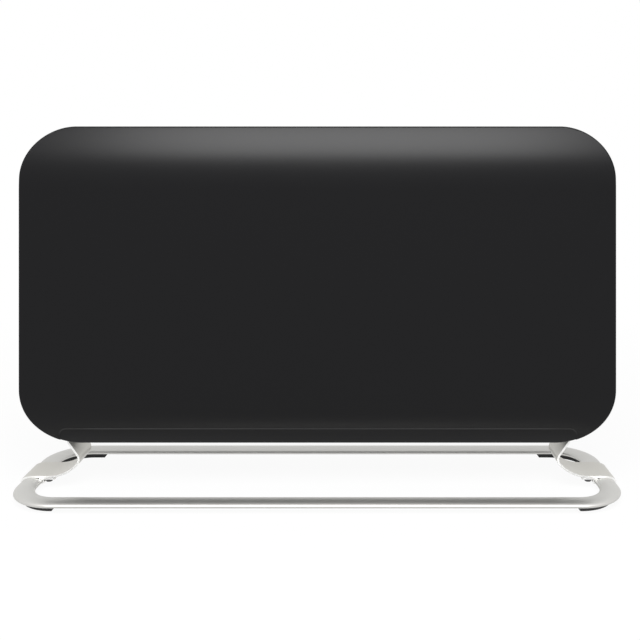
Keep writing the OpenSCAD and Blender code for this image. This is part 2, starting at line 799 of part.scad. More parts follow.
module thermostat_knob() color([0.2, 0.2, 0.21])
    turned_about_knob(knob_rest) difference() {
        union() {
            rod_x(knob_x, knob_x + 2.5, 0, knob_z, knob_d);
            rod_x(knob_x + 2.5, knob_x + knob_l, 0, knob_z, knob_d - 7);
            // The pointer
            span([knob_x + 2.5, -1, knob_z], [knob_x + knob_l, 1, knob_z + knob_d/2 - 0.8]);
        }
        // Grooves round the grip
        for (i = [1:knob_grooves - 1]) turned_about_knob(i*360/knob_grooves)
            rod_x(knob_x + 2.5, knob_x + knob_l + 1, 0, knob_z + knob_d/2 - 3.5, 1.6);
        // Room for the nut and the bush
        rod_x(knob_x - 1, knob_x + 4.5, 0, knob_z, 20);
        difference() {
            rod_x(knob_x, knob_x + knob_l - 1.9, 0, knob_z, spindle_d + 2*run_gap);
            key_flat(knob_x, run_gap);
        }
    }

module turned_about_knob(a)
    translate([0, 0, knob_z]) rotate([a, 0, 0]) translate([0, 0, -knob_z]) children();

// A rocker switch's housing with its pocket and its pivot holes
module switch_body(y)
    translate([0, y, switch_z])
        difference() {
            union() {
                span([behind_panel - 20, -switch_w/2, -switch_h/2], [panel_x, switch_w/2, switch_h/2]);
                along(panel_x, panel_x + 1.6) rounded_2d(switch_w + 2.4, switch_h + 2.4, 1.5);
                for (z = [-8, 0, 8])
                    span([behind_panel - 28, -2.4, z - 0.4], [behind_panel - 20, 2.4, z + 0.4]);
            }
            span([rocker_x - 6, -rocker_w/2 - rocker_gap, -rocker_h/2 - rocker_end_gap],
                [panel_x + 3, rocker_w/2 + rocker_gap, rocker_h/2 + rocker_end_gap]);
            rod_y(rocker_x, -switch_w/2 - 2, switch_w/2 + 2, 0, rocker_pin_d + 2*run_gap);
        }

module front_switch_body() color([0.1, 0.1, 0.1]) switch_body(-switch_pitch/2);
module rear_switch_body() color([0.1, 0.1, 0.1]) switch_body(switch_pitch/2);

// A rocker as it lies when off: two flats that meet over the pivot, with a stub on each side
module rocker(y)
    translate([rocker_x, y, switch_z]) rotate([0, rocker_travel/2, 0]) {
        across(-rocker_w/2, rocker_w/2)
            polygon([[-2.6, -rocker_h/2], [-2.6, rocker_h/2], [6.4, rocker_h/2], [5, 0], [6.4, -rocker_h/2]]);
        rod_y(0, -rocker_w/2 - rocker_stub, rocker_w/2 + rocker_stub, 0, rocker_pin_d);
    }

module front_rocker() color([0.12, 0.12, 0.12]) rocker(-switch_pitch/2);
module rear_rocker() color([0.12, 0.12, 0.12]) rocker(switch_pitch/2);

// The pilot lamp: a lens with a bevelled rim, a collar and a body behind the panel
module pilot_lamp() color([0.85, 0.2, 0.1]) {
    rod_x(behind_panel - 12, panel_x + 1, 0, lamp_z, lamp_d);
    translate([panel_x + 1, 0, lamp_z]) rotate([0, 90, 0]) cylinder(h = 1.4, d1 = lamp_d, d2 = lamp_d - 3);
    rod_x(behind_panel - 2, behind_panel - 0.1, 0, lamp_z, lamp_d + 3);
}

// The terminal block on the right end frame, with its screw wells
module terminal_block() color([0.9, 0.89, 0.85]) {
    x1 = frame_x - frame_t;
    difference() {
        span([x1 - 16, -18, block_z - 8], [x1, 18, block_z + 8]);
        for (y = [-12, 0, 12]) {
            rod_x(x1 - 17, x1 - 9, y, block_z, 5);
            translate([x1 - 8, y, block_z - 9]) cylinder(h = 18, d = 4);
        }
    }
}

module earth_screw() color([0.8, 0.7, 0.4]) {
    x1 = frame_x - frame_t;
    rod_x(x1 - 5, frame_x + 2, earth_y, block_z, 3.6);
    translate([x1 - 3, earth_y, block_z]) rotate([0, 90, 0]) cylinder(h = 3, d = 7, $fn = 6);
}

// The cord inlet in the rear shell: a snap-in bush with a through hole
module cord_gland() color([0.08, 0.08, 0.08])
    difference() {
        union() {
            rod_y(gland_x, body_d/2 - 11, body_d/2 + 3, gland_z, gland_hole - 0.4);
            rod_y(gland_x, body_d/2, body_d/2 + 2.5, gland_z, gland_hole + 6);
            rod_y(gland_x, frame_y - 2.5, frame_y - 0.1, gland_z, gland_hole + 2);
        }
        rod_y(gland_x, body_d/2 - 12, body_d/2 + 4, gland_z, gland_bore);
    }

// The stand

// The oval tube's cross-section
module tube_wall_2d() difference() {
    scale([tube_w/2, tube_h/2]) circle(r = 1);
    scale([tube_w/2 - tube_wall, tube_h/2 - tube_wall]) circle(r = 1);
}

module base_ring() color([0.78, 0.78, 0.77]) translate([0, 0, tube_z]) {
    both_sides() translate([-ring_cx, tube_y, 0]) rotate([90, 0, 90]) linear_extrude(2*ring_cx) tube_wall_2d();
    both_ends() translate([tube_x, ring_cy, 0]) rotate([90, 0, 0]) linear_extrude(2*ring_cy) tube_wall_2d();
    both_ends() both_sides() translate([ring_cx, ring_cy, 0])
        rotate_extrude(angle = 90) translate([ring_r, 0]) tube_wall_2d();
}

// The ribbon's side view: over the tube, the long bend, the tight bend, the sloping run
function ribbon_points() =
    let (t = ribbon_t/2,
        end_x = rise_x + rise_l*cos(rise_angle),
        end_z = rise_z + rise_l*sin(rise_angle),
        nx = t*sin(rise_angle),
        nz = t*cos(rise_angle))
    concat(oval(tube_x, tube_z, tube_w/2 + ribbon_t, tube_h/2 + ribbon_t, saddle_open, 90),
        arc(long_x, long_z, long_r - t, 270, 270 - long_turn),
        arc(tight_x, tight_z, tight_r - t, 270 - long_turn, 90 + rise_angle, 1),
        [[end_x + nx, end_z - nz], [end_x - nx, end_z + nz]],
        arc(tight_x, tight_z, tight_r + t, 90 + rise_angle, 270 - long_turn),
        arc(long_x, long_z, long_r + t, 270 - long_turn, 270, 1),
        oval(tube_x, tube_z, tube_w/2 + saddle_gap, tube_h/2 + saddle_gap, 90, saddle_open));

// One ribbon bracket at +x, drawn in to a tongue above its shoulders
module bracket()
    difference() {
        union() {
            across(-ribbon_w/2, ribbon_w/2) polygon(ribbon_points());
            // The studs for the clip
            for (s = [-1, 1]) translate([clip_nut_x, s*clip_pitch/2, ribbon_z - ribbon_t/2 - clip_stud])
                cylinder(h = clip_stud + ribbon_t/2, d = screw_4);
        }
        translate([rise_x, 0, rise_z]) rotate([0, -rise_angle, 0])
            both_sides() span([shoulder_s, tongue_w/2, -ribbon_t], [rise_l + 1, ribbon_w, ribbon_t]);
        tongue_holes(hole_5);
    }

module bracket_left() color([0.78, 0.78, 0.77]) mirror([1, 0, 0]) bracket();
module bracket_right() color([0.78, 0.78, 0.77]) bracket();

// The clip: a tab under the ribbon and a lip round the tube's inner side
module ring_clip() {
    a = tube_w/2 + clip_gap;
    b = tube_h/2 + clip_gap;
    tab_z = ribbon_z - ribbon_t/2 - clip_t;
    low = asin((tab_z - tube_z)/(b + clip_t));
    tab_x = tube_x - (a + clip_t)*cos(low) - clip_tab;
    difference() {
        across(-ribbon_w/2, ribbon_w/2)
            polygon(concat([[tab_x, tab_z], [tab_x, tab_z + clip_t],
                [tube_x - a*cos(clip_top), tab_z + clip_t]],
                oval(tube_x, tube_z, a, b, 180 - clip_top, 180 + clip_reach),
                oval(tube_x, tube_z, a + clip_t, b + clip_t, 180 + clip_reach, 180 - low)));
        for (s = [-1, 1])
            translate([clip_nut_x, s*clip_pitch/2, tab_z - 1]) cylinder(h = clip_t + 2, d = hole_4);
    }
}

module ring_clip_left() color([0.78, 0.78, 0.77]) mirror([1, 0, 0]) ring_clip();
module ring_clip_right() color([0.78, 0.78, 0.77]) ring_clip();

module ring_clip_nuts() color([0.1, 0.1, 0.1])
    both_ends() for (s = [-1, 1])
        translate([clip_nut_x, s*clip_pitch/2, ribbon_z - ribbon_t/2 - clip_t - nut_4_h]) nut();

// A nut for the 4 mm screws and studs
module nut()
    difference() {
        cylinder(h = nut_4_h, d = nut_4, $fn = 6);
        translate([0, 0, -1]) cylinder(h = nut_4_h + 2, d = screw_4 + 0.2);
    }

// Screw heads under the tongues, nuts above the feet
module tongue_screws() color([0.1, 0.1, 0.1])
    both_ends() translate([rise_x, 0, rise_z]) rotate([0, -rise_angle, 0])
        for (s = [-1, 1]) translate([tongue_screw_s, s*tongue_screw_pitch/2, 0]) {
            translate([0, 0, -ribbon_t/2 - head_5_h]) cylinder(h = head_5_h, d = head_5_d);
            translate([0, 0, -ribbon_t/2 - 0.1]) cylinder(h = tongue_screw_l, d = screw_5);
        }

module tongue_nuts() color([0.75, 0.76, 0.77])
    both_ends() translate([rise_x, 0, rise_z]) rotate([0, -rise_angle, 0])
        for (s = [-1, 1]) translate([tongue_screw_s, s*tongue_screw_pitch/2, ribbon_t/2 + frame_t])
            difference() {
                cylinder(h = nut_5_h, d = nut_5, $fn = 6);
                translate([0, 0, -1]) cylinder(h = nut_5_h + 2, d = screw_5 + 0.2);
            }

// A pad follows a corner of the ring and runs on a little along the front or the rear
module pad(run) {
    end = 90 - pad_turn;
    linear_extrude(pad_h) difference() {
        quarter(ring_cx, ring_cy, ring_r + pad_out, 1, 1);
        translate([ring_cx, ring_cy]) circle(r = ring_r + pad_out - pad_w);
        translate([ring_cx, ring_cy])
            polygon([[0, 0], [0, -over], [ring_d, -over], [ring_d*cos(end), ring_d*sin(end)]]);
    }
    across(tube_y + pad_out - pad_w, tube_y + pad_out)
        polygon([[ring_cx - run + pad_slant, 0], [ring_cx, 0], [ring_cx, pad_h], [ring_cx - run, pad_h]]);
}

module pad_front_left() color([0.05, 0.05, 0.05]) mirror([1, 0, 0]) mirror([0, 1, 0]) pad(pad_run_front);
module pad_front_right() color([0.05, 0.05, 0.05]) mirror([0, 1, 0]) pad(pad_run_front);
module pad_rear_left() color([0.05, 0.05, 0.05]) mirror([1, 0, 0]) pad(pad_run_rear);
module pad_rear_right() color([0.05, 0.05, 0.05]) pad(pad_run_rear);

// The fasteners

module front_shell_nuts() color([0.75, 0.76, 0.77])
    both_ends() for (i = [0:2])
        translate([shell_screw_x, (i == 1 ? 0 : rail_t) - rail_y, shell_screw_zs[i]]) rotate([-90, 0, 0])
            nut();

module rear_shell_screws() color([0.1, 0.1, 0.1])
    both_ends() for (z = shell_screw_zs) {
        rod_y(shell_screw_x, body_d/2, body_d/2 + head_4_h, z, head_4_d);
        rod_y(shell_screw_x, rail_y - 6, body_d/2 + 0.1, z, screw_4);
    }

module end_cap_screws() color([0.1, 0.1, 0.1])
    both_ends() for (s = [-1, 1], z = boss_zs) {
        rod_x(cap_face_x - boss_sink, cap_face_x - boss_sink + 2.2, s*boss_y, z, boss_d - 3.2);
        rod_x(frame_x - 8, cap_face_x - boss_sink + 0.1, s*boss_y, z, screw_3);
    }

module grille_screws() color([0.1, 0.1, 0.1])
    both_ends() for (s = [-1, 1]) {
        translate([cap_x - end_bar/2, s*grille_screw_y, outlet_top - 1]) cylinder(h = 0.9, d = head_3_d);
        translate([cap_x - end_bar/2, s*grille_screw_y, outlet_top - grille_h - cap_ledge_t])
            cylinder(h = grille_h + cap_ledge_t - 0.9, d = screw_3);
        translate([cap_x - end_bar/2, s*grille_screw_y, inlet_bottom - 1.6]) cylinder(h = 1.6, d = head_3_d);
        translate([cap_x - end_bar/2, s*grille_screw_y, inlet_bottom - 0.1])
            cylinder(h = inlet_t + cap_ledge_t, d = screw_3);
    }

front_shell();
rear_shell();
end_cap_left();
end_cap_right();
outlet_grille();
inlet_grille();
end_frame_left();
end_frame_right();
upper_rails();
lower_rails();
front_liner();
rear_liner();
duct_end_left();
duct_end_right();
element_sheath();
element_fins();
element_hangers();
ceramic_bushes();
terminal_pins();
overheat_cutout();
thermostat_body();
thermostat_nut();
thermostat_spindle();
thermostat_knob();
front_switch_body();
rear_switch_body();
front_rocker();
rear_rocker();
pilot_lamp();
terminal_block();
earth_screw();
cord_gland();
base_ring();
bracket_left();
bracket_right();
ring_clip_left();
ring_clip_right();
ring_clip_nuts();
tongue_screws();
tongue_nuts();
pad_front_left();
pad_front_right();
pad_rear_left();
pad_rear_right();
front_shell_nuts();
rear_shell_screws();
end_cap_screws();
grille_screws();
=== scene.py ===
"""Finish of a free-standing convector heater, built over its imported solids.

Metres, +Z up, the floor at z = 0, the front towards -Y, the controls on the right end at +X.
"""

import json
import math

import bmesh
import bpy
from mathutils import Matrix, Vector


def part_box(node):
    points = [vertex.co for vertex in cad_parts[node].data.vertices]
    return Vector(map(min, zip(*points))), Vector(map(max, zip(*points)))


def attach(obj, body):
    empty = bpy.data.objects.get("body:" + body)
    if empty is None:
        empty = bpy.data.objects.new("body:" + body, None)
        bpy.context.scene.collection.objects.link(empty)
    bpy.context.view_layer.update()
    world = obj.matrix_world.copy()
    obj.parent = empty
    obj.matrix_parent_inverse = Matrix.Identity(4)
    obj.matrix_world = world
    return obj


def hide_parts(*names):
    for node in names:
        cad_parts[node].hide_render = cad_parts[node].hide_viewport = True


bl_info = {
    "name": "Convector heater",
    "version": (1, 0, 0),
    "blender": (4, 5, 0),
    "location": "View3D > Sidebar > Heater",
    "description": "Builds the finish of a convector heater over its packed solids",
    "category": "Add Mesh",
}

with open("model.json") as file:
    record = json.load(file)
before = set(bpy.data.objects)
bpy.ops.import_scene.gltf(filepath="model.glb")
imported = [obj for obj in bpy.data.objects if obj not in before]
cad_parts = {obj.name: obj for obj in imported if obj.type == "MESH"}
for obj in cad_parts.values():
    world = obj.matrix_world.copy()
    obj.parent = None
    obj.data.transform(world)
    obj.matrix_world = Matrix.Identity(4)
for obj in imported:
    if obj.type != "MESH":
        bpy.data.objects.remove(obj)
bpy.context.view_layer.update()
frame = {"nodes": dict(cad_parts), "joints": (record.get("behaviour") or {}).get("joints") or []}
NODES = frame["nodes"]
JOINTS = {joint["name"]: joint for joint in frame["joints"]}
HEATER = "heater"
SHELL_LOW, SHELL_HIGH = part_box("front_shell")
RING_LOW, RING_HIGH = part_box("base_ring")
PANEL_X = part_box("thermostat_nut")[0].x
KNOB_FACE_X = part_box("thermostat_knob")[1].x
KNOB_AXIS = Vector(JOINTS["thermostat_turn"]["pos_m"])

# Facts of the solids, in metres and radians
NUT_CORNER = 0.0040  # from a clip nut's middle to its corner
NUT_FLAT = 0.00346  # from a clip nut's middle to its flat
STUD_RADIUS = 0.0020
ROCKER_REST = math.radians(8)  # tilt of a rocker that is off
ROCKER_SLOPE = math.atan2(1.4, 10.6)  # slope of each of its two flats: fall over length
ROCKER_FACE = 0.005  # from a rocker's pivot to the ridge between its flats
DIAL_SWEEP = math.radians(270)
DIAL_TOP = 5  # highest number on the dial
TICKS_A_NUMBER = 3

# A screw's cross recess, as shares of the head's diameter; half the height is cut into the head
CROSS_LENGTH, CROSS_WIDTH, CROSS_HEIGHT = 0.56, 0.15, 0.36

# How finely the meshes are cut
TINY = 1e-6  # points closer than this are one
WELD = 2e-5  # the same where the ring's two ends meet
ROW_PITCH = 0.003  # between the rows of faces where a shell's face leans
CORNER_CUTS = 40
RIM_CUTS = 4
OVAL_SIDES = 56
RING_BEND_CUTS = 28
SADDLE_CUTS, LONG_BEND_CUTS, TIGHT_BEND_CUTS = 28, 24, 20
STUD_SIDES = 32
DOME_CUTS = 4

# Angles and weights that tell flats, edges and cut ends apart
SAME_FLAT = math.radians(0.3)
SHARP = math.radians(32)  # past this an edge of a solid is rounded
RIBBON_SHARP = math.radians(40)  # the same for the ribbons' sheet
FLAT_WEIGHT = 70
# Faces past this take the lighter cut finish, which paints the highlight on these edges.
EDGE_HIGHLIGHT_FACING = 0.6  # a face whose normal has more than this along Y was cut off

# The floor's white: how far from the middle it is full, and how full it is near the heater
FLOOR_SIZE = 12.0
FLOOR_TONE = (0.9, 0.9, 0.9, 1)
FADE_FROM, FADE_TO = 0.45, 1.2
NEAR_WHITE = 0.94
WHITE = (1, 1, 1, 1)


# Settings


def length(name, text, default, low=0.0, high=2.0):
    """A size in metres."""
    return bpy.props.FloatProperty(
        name=name, description=text, default=default, min=low, max=high, unit="LENGTH", precision=4)


def turn(name, text, degrees):
    """An angle, given in degrees and kept in radians."""
    return bpy.props.FloatProperty(
        name=name, description=text, default=math.radians(degrees), unit="ROTATION")


def tint(name, text, default):
    """A linear colour."""
    return bpy.props.FloatVectorProperty(
        name=name, description=text, default=default, size=3, min=0.0, max=1.0, subtype="COLOR")


def share(name, text, default, high=1.0, low=0.0):
    """A plain number, mostly from 0 to 1."""
    return bpy.props.FloatProperty(
        name=name, description=text, default=default, min=low, max=high)


def point(name, text, default):
    """A place in metres."""
    return bpy.props.FloatVectorProperty(
        name=name, description=text, default=default, size=3, subtype="TRANSLATION", unit="LENGTH")


class HeaterShell(bpy.types.PropertyGroup):
    """Sizes of the two pressed shells."""

    top_radius: length("Top radius", "Corner radius of the outline at the top", 0.061)
    bottom_radius: length("Bottom radius", "Corner radius of the outline at the bottom", 0.068)
    lean_height: length("Lean height", "Height over which the face leans in", 0.075)
    lean_depth: length("Lean depth", "How far the face leans in", 0.020)
    sheet: length("Sheet", "Thickness of the sheet", 0.001)
    flange: length("Flange", "Depth of the return flange", 0.005)
    rim: length("Rim", "Radius of the bend between face and flange", 0.0016)
    step_height: length("Step height", "Height of the pressed step", 0.0206)
    step_side: length("Step side", "Distance from the step's end to the shell's side", 0.0425)
    step_depth: length("Step depth", "Depth of the pressed step", 0.0015)
    step_radius: length("Step radius", "Corner radius of the pressed step", 0.010)
    step_slope: length("Step slope", "Width of the slope into the step", 0.0022)


class HeaterStand(bpy.types.PropertyGroup):
    """Sizes of the ring and its brackets."""

    tube_width: length("Tube width", "Width of the oval tube", 0.024)
    corner: length("Corner", "Corner radius of the tube's centre line", 0.044)
    ribbon: length("Ribbon", "Thickness of the bracket's ribbon", 0.0025)
    ribbon_width: length("Ribbon width", "Width of the bracket's ribbon", 0.046)
    tongue_width: length("Tongue width", "Width of the tongue inside the body", 0.042)
    lead: length("Lead", "Ribbon between the tube's middle and the long bend", 0.019)
    long_radius: length("Long bend", "Radius of the long bend", 0.0465)
    long_turn: turn("Long turn", "Turn of the long bend", 46.6)
    tight_radius: length("Tight bend", "Radius of the tight bend", 0.009)
    rise: turn("Rise", "Slope of the ribbon's upper run", 54.5)
    rise_length: length("Rise length", "Length of the upper run", 0.054)
    shoulder: length("Shoulder", "Height of the ribbon's shoulders", 0.0565)
    saddle: turn("Saddle", "Turn of the ribbon round the tube", 102)


class HeaterTones(bpy.types.PropertyGroup):
    """Colours of the finishes."""

    shell: tint("Shell", "Powder coat on the shells", (0.0016, 0.0016, 0.0022))
    moulding: tint("Moulding", "Moulded caps and grilles", (0.016, 0.016, 0.017))
    silver: tint("Silver", "Satin metal of the ribbons and clips", (0.56, 0.548, 0.508))
    tube: tint("Tube", "Satin metal of the ring", (0.592, 0.587, 0.566))
    # The cut edges' tone is much lighter than the satin metal: a painted highlight on bare metal
    # edges.
    cut: tint("Cut edge", "Bare cut edges of the ribbons", (0.88, 0.88, 0.87))
    rubber: tint("Rubber", "Pads", (0.010, 0.010, 0.010))
    zinc: tint("Zinc", "Galvanised frame", (0.50, 0.51, 0.52))
    sheet: tint("Bare sheet", "Aluminium liners and fins", (0.66, 0.67, 0.68))
    sheath: tint("Sheath", "Heat-darkened element", (0.13, 0.115, 0.10))
    ceramic: tint("Ceramic", "Bushes", (0.80, 0.77, 0.70))
    brass: tint("Brass", "Spindle and earth screw", (0.62, 0.47, 0.20))
    print_white: tint("Print", "Marks on the panel", (0.72, 0.72, 0.70))
    lamp: tint("Lamp", "Pilot lamp's lens", (0.65, 0.10, 0.02))
    phenolic: tint("Phenolic", "Thermostat and cut-out", (0.035, 0.025, 0.018))
    switch: tint("Switch", "Switches and the cord inlet", (0.012, 0.012, 0.012))
    rocker: tint("Rocker", "Rockers", (0.014, 0.014, 0.014))
    block: tint("Block", "Terminal block", (0.72, 0.70, 0.62))
    screw: tint("Screw", "Blackened screws", (0.018, 0.018, 0.019))


class HeaterEdges(bpy.types.PropertyGroup):
    """How far the edges of each kind of piece are rounded."""

    cap: length("Caps", "Edges of the end caps", 0.0006)
    grille: length("Grilles", "Edges of the grilles", 0.0004)
    ribbon: length("Ribbons", "Edges of the ribbon brackets", 0.0004)
    clip: length("Clips", "Edges of the ring's clips", 0.0003)
    stud: length("Studs", "Ends of the clips' studs", 0.0004)
    pad: length("Pads", "Edges of the corner pads", 0.0006)
    knob: length("Knob", "Edges of the knob", 0.00025)
    switch: length("Switches", "Edges of the switches", 0.0003)
    rocker: length("Rockers", "Edges of the rockers", 0.0004)
    lamp: length("Lamp", "Edge of the pilot lamp's lens", 0.0002)
    nut: length("Nuts", "Edges of the nuts and the tongues' screws", 0.0003)
    bush: length("Cord inlet", "Edges of the cord inlet's bush", 0.0005)
    cap_screw: length("Cap screws", "Dome of the end caps' screws", 0.0006)
    rear_screw: length("Rear screws", "Dome of the rear shell's screws", 0.0009)
    grille_screw: length("Grille screws", "Dome of the grilles' screws", 0.0003)


class HeaterPrint(bpy.types.PropertyGroup):
    """Sizes of the dial's print, the pointer and the rockers' marks."""

    ink: length("Ink", "Half the thickness of the print", 0.00003)
    number_radius: length("Number ring", "Radius of the ring of numbers", 0.0227)
    number_height: length("Numbers", "Height of the numbers", 0.0034)
    tick_radius: length("Tick ring", "Radius of the ring of ticks", 0.0196)
    tick_width: length("Tick width", "Width of a tick", 0.0005)
    long_tick: length("Long tick", "Length of a tick at a number", 0.0022)
    short_tick: length("Short tick", "Length of a tick between numbers", 0.0012)
    pointer_radius: length("Pointer ring", "From the knob's axis to the line's middle", 0.0118)
    pointer_length: length("Pointer length", "Length of the line", 0.0094)
    pointer_width: length("Pointer width", "Width of the line", 0.0011)
    pointer_depth: length("Pointer depth", "Thickness of the line", 0.0003)
    rocker_mark: length("Rocker marks", "Height of I and O", 0.0052)
    rocker_place: length("Rocker place", "From the ridge to a mark's middle", 0.0060)


class HeaterStage(bpy.types.PropertyGroup):
    """The camera and the light."""

    eye_x: length("Eye x", "Camera's place to the right of the middle", 0.0462, -2)
    eye_y: length("Eye y", "Camera's place in depth", -1.05725, -3)
    eye_z: length("Eye z", "Camera's height", 0.410)
    focal: share("Focal length", "Focal length in millimetres on a 36 mm sensor", 48.49, 200)
    shift_x: share("Shift x", "Sideways shift as a share of the frame", -0.0577, low=-1.0)
    shift_y: share("Shift y", "Upward shift as a share of the frame", -0.2698, low=-1.0)
    room: share("Room", "Light that comes from all round", 0.3, 4)
    key: share("Key light", "Power of the softbox above the front in watts", 53.0, 500)
    key_width: length("Key width", "Width of the softbox", 1.5)
    key_height: length("Key height", "Height of the softbox", 1.14)
    key_place: point("Key place", "Where the softbox hangs", (0.02, -1.252, 1.713))
    key_aim: point("Key aim", "What the softbox faces", (0.02, -0.052, 0.373))


# Node groups and finishes


def new_group(name, inputs, outputs):
    """An empty shader group with named sockets."""
    group = bpy.data.node_groups.new(name, "ShaderNodeTree")
    for label, kind, default in inputs:
        socket = group.interface.new_socket(name=label, in_out="INPUT", socket_type=kind)
        socket.default_value = default
    for label, kind in outputs:
        group.interface.new_socket(name=label, in_out="OUTPUT", socket_type=kind)
    start = group.nodes.new("NodeGroupInput")
    end = group.nodes.new("NodeGroupOutput")
    return group, start, end


def add(tree, kind, **values):
    """A node with its settings; a value that starts with in_ goes to the socket of that name."""
    node = tree.nodes.new(kind)
    for key, value in values.items():
        if key.startswith("in_"):
            node.inputs[key[3:].replace("_", " ")].default_value = value
        else:
            setattr(node, key, value)
    return node


def maths(tree, how, a, b):
    """One sum; a and b are sockets or numbers."""
    node = add(tree, "ShaderNodeMath", operation=how)
    for socket, value in zip(node.inputs, (a, b)):
        if isinstance(value, bpy.types.NodeSocket):
            tree.links.new(value, socket)
        else:
            socket.default_value = value
    return node.outputs[0]


def skin_group(name, roughness, *inputs):
    """A finish's group: colour and roughness come in, and go out again with a height."""
    return new_group(
        name,
        [("Color", "NodeSocketColor", (0.5, 0.5, 0.5, 1)),
         ("Roughness", "NodeSocketFloat", roughness), *inputs],
        [("Color", "NodeSocketColor"), ("Roughness", "NodeSocketFloat"),
         ("Height", "NodeSocketFloat")])


def wander(group, start, end, mask, height):
    """Lets a finish's colour and roughness drift with a mask, and hands its height on."""
    swing = maths(group, "SUBTRACT", mask, 0.5)
    swing = maths(group, "MULTIPLY", swing, start.outputs["Drift"])
    lift = maths(group, "ADD", swing, 1.0)
    shade = add(group, "ShaderNodeHueSaturation")
    rough = maths(group, "MULTIPLY", start.outputs["Roughness"], lift)
    group.links.new(start.outputs["Color"], shade.inputs["Color"])
    group.links.new(lift, shade.inputs["Value"])
    group.links.new(shade.outputs["Color"], end.inputs["Color"])
    group.links.new(rough, end.inputs["Roughness"])
    group.links.new(height, end.inputs["Height"])


def coat_group():
    """Fine skin of a coating or moulding, in patches of a slightly different tone."""
    group, start, end = skin_group(
        "coat_skin", 0.5, ("Grain", "NodeSocketFloat", 900.0),
        ("Patches", "NodeSocketFloat", 14.0), ("Drift", "NodeSocketFloat", 0.1))
    place = add(group, "ShaderNodeTexCoord")
    grain = add(group, "ShaderNodeTexNoise", in_Detail=3.0, in_Roughness=0.55)
    patches = add(group, "ShaderNodeTexNoise", in_Detail=2.0, in_Roughness=0.5)
    for noise, scale in ((grain, "Grain"), (patches, "Patches")):
        group.links.new(place.outputs["Object"], noise.inputs["Vector"])
        group.links.new(start.outputs[scale], noise.inputs["Scale"])
    wander(group, start, end, patches.outputs["Fac"], grain.outputs["Fac"])
    return group


def rolled_group():
    """Fine lines of drawn or rolled metal, along X unless Stretch says otherwise."""
    group, start, end = skin_group(
        "rolled_lines", 0.4, ("Lines", "NodeSocketFloat", 1500.0),
        ("Stretch", "NodeSocketVector", (0.02, 1.0, 1.0)), ("Drift", "NodeSocketFloat", 0.15))
    place = add(group, "ShaderNodeTexCoord")
    stretch = add(group, "ShaderNodeVectorMath", operation="MULTIPLY")
    group.links.new(place.outputs["Object"], stretch.inputs[0])
    group.links.new(start.outputs["Stretch"], stretch.inputs[1])
    lines = add(group, "ShaderNodeTexNoise", in_Detail=4.0, in_Roughness=0.6)
    group.links.new(stretch.outputs[0], lines.inputs["Vector"])
    group.links.new(start.outputs["Lines"], lines.inputs["Scale"])
    wander(group, start, end, lines.outputs["Fac"], lines.outputs["Fac"])
    return group


def spangle_group():
    """The crystal patches of hot-dip zinc."""
    group, start, end = skin_group(
        "zinc_spangle", 0.4, ("Patches", "NodeSocketFloat", 160.0),
        ("Drift", "NodeSocketFloat", 0.3))
    place = add(group, "ShaderNodeTexCoord")
    cells = add(group, "ShaderNodeTexVoronoi", feature="F1")
    group.links.new(place.outputs["Object"], cells.inputs["Vector"])
    group.links.new(start.outputs["Patches"], cells.inputs["Scale"])
    tone = add(group, "ShaderNodeSeparateColor")
    group.links.new(cells.outputs["Color"], tone.inputs["Color"])
    wander(group, start, end, tone.outputs[0], cells.outputs["Distance"])
    return group


GROUP_MAKERS = {
    "coat_skin": coat_group,
    "rolled_lines": rolled_group,
    "zinc_spangle": spangle_group,
}


def skin(name, group, colour, roughness, bump, **socket_values):
    """A finish made of one of the groups: its colour, roughness and height drive one surface.

    bump is the height of the skin's relief in metres. The other values go to the group's sockets,
    or else to the surface's own.
    """
    if name in bpy.data.materials:
        return bpy.data.materials[name]
    material = bpy.data.materials.new(name)
    material.use_nodes = True
    tree = material.node_tree
    surface = tree.nodes["Principled BSDF"]
    place = add(tree, "ShaderNodeGroup")
    place.node_tree = bpy.data.node_groups.get(group) or GROUP_MAKERS[group]()
    place.inputs["Color"].default_value = (*colour, 1.0)
    place.inputs["Roughness"].default_value = roughness
    for key, value in socket_values.items():
        if key in place.inputs:
            place.inputs[key].default_value = value
        else:
            surface.inputs[key.replace("_", " ")].default_value = value
    tree.links.new(place.outputs["Color"], surface.inputs["Base Color"])
    tree.links.new(place.outputs["Roughness"], surface.inputs["Roughness"])
    relief = add(tree, "ShaderNodeBump", in_Strength=1.0, in_Distance=bump)
    tree.links.new(place.outputs["Height"], relief.inputs["Height"])
    tree.links.new(relief.outputs["Normal"], surface.inputs["Normal"])
    return material


def shell_coat(tones):
    """Satin black powder coat with a faint orange peel."""
    return skin("shell_coat", "coat_skin", tones.shell, roughness=0.3, bump=0.00001, Grain=700.0,
                Patches=9.0, Drift=0.08, Specular_IOR_Level=0.198)


def moulded_black(tones):
    """Black moulding with a fine spark-eroded grain."""
    return skin("moulded_black", "coat_skin", tones.moulding, roughness=0.55, bump=0.00006,
                Grain=1400.0, Drift=0.12)


def satin_silver(tones):
    """Satin metal of the ribbons and clips."""
    return skin("satin_silver", "coat_skin", tones.silver, roughness=0.36, bump=0.000002,
                Grain=2600.0, Patches=30.0, Drift=0.05, Metallic=0.8)


def tube_silver(tones):
    """Satin metal of the ring, blasted a little coarser."""
    return skin("tube_silver", "coat_skin", tones.tube, roughness=0.42, bump=0.000003,
                Grain=2200.0, Patches=24.0, Drift=0.05, Metallic=0.9)


def bright_cut(tones):
    """The ribbons' bare cut edges, in a lighter tone that paints the highlight they catch."""
    return skin("bright_cut", "coat_skin", tones.cut, roughness=0.3, bump=0.000002, Grain=2600.0,
                Patches=30.0, Drift=0.03, Metallic=0.75)


def pad_rubber(tones):
    """Matt rubber."""
    return skin("pad_rubber", "coat_skin", tones.rubber, roughness=0.8, bump=0.00008, Grain=1800.0,
                Drift=0.2)


def zinc_sheet(tones):
    """Galvanised sheet with its spangle."""
    return skin("zinc_sheet", "zinc_spangle", tones.zinc, roughness=0.42, bump=0.00001,
                Metallic=1.0)


def liner_sheet(tones):
    """Rolled aluminium with lines along the heater."""
    return skin("liner_sheet", "rolled_lines", tones.sheet, roughness=0.36, bump=0.00001,
                Metallic=1.0)


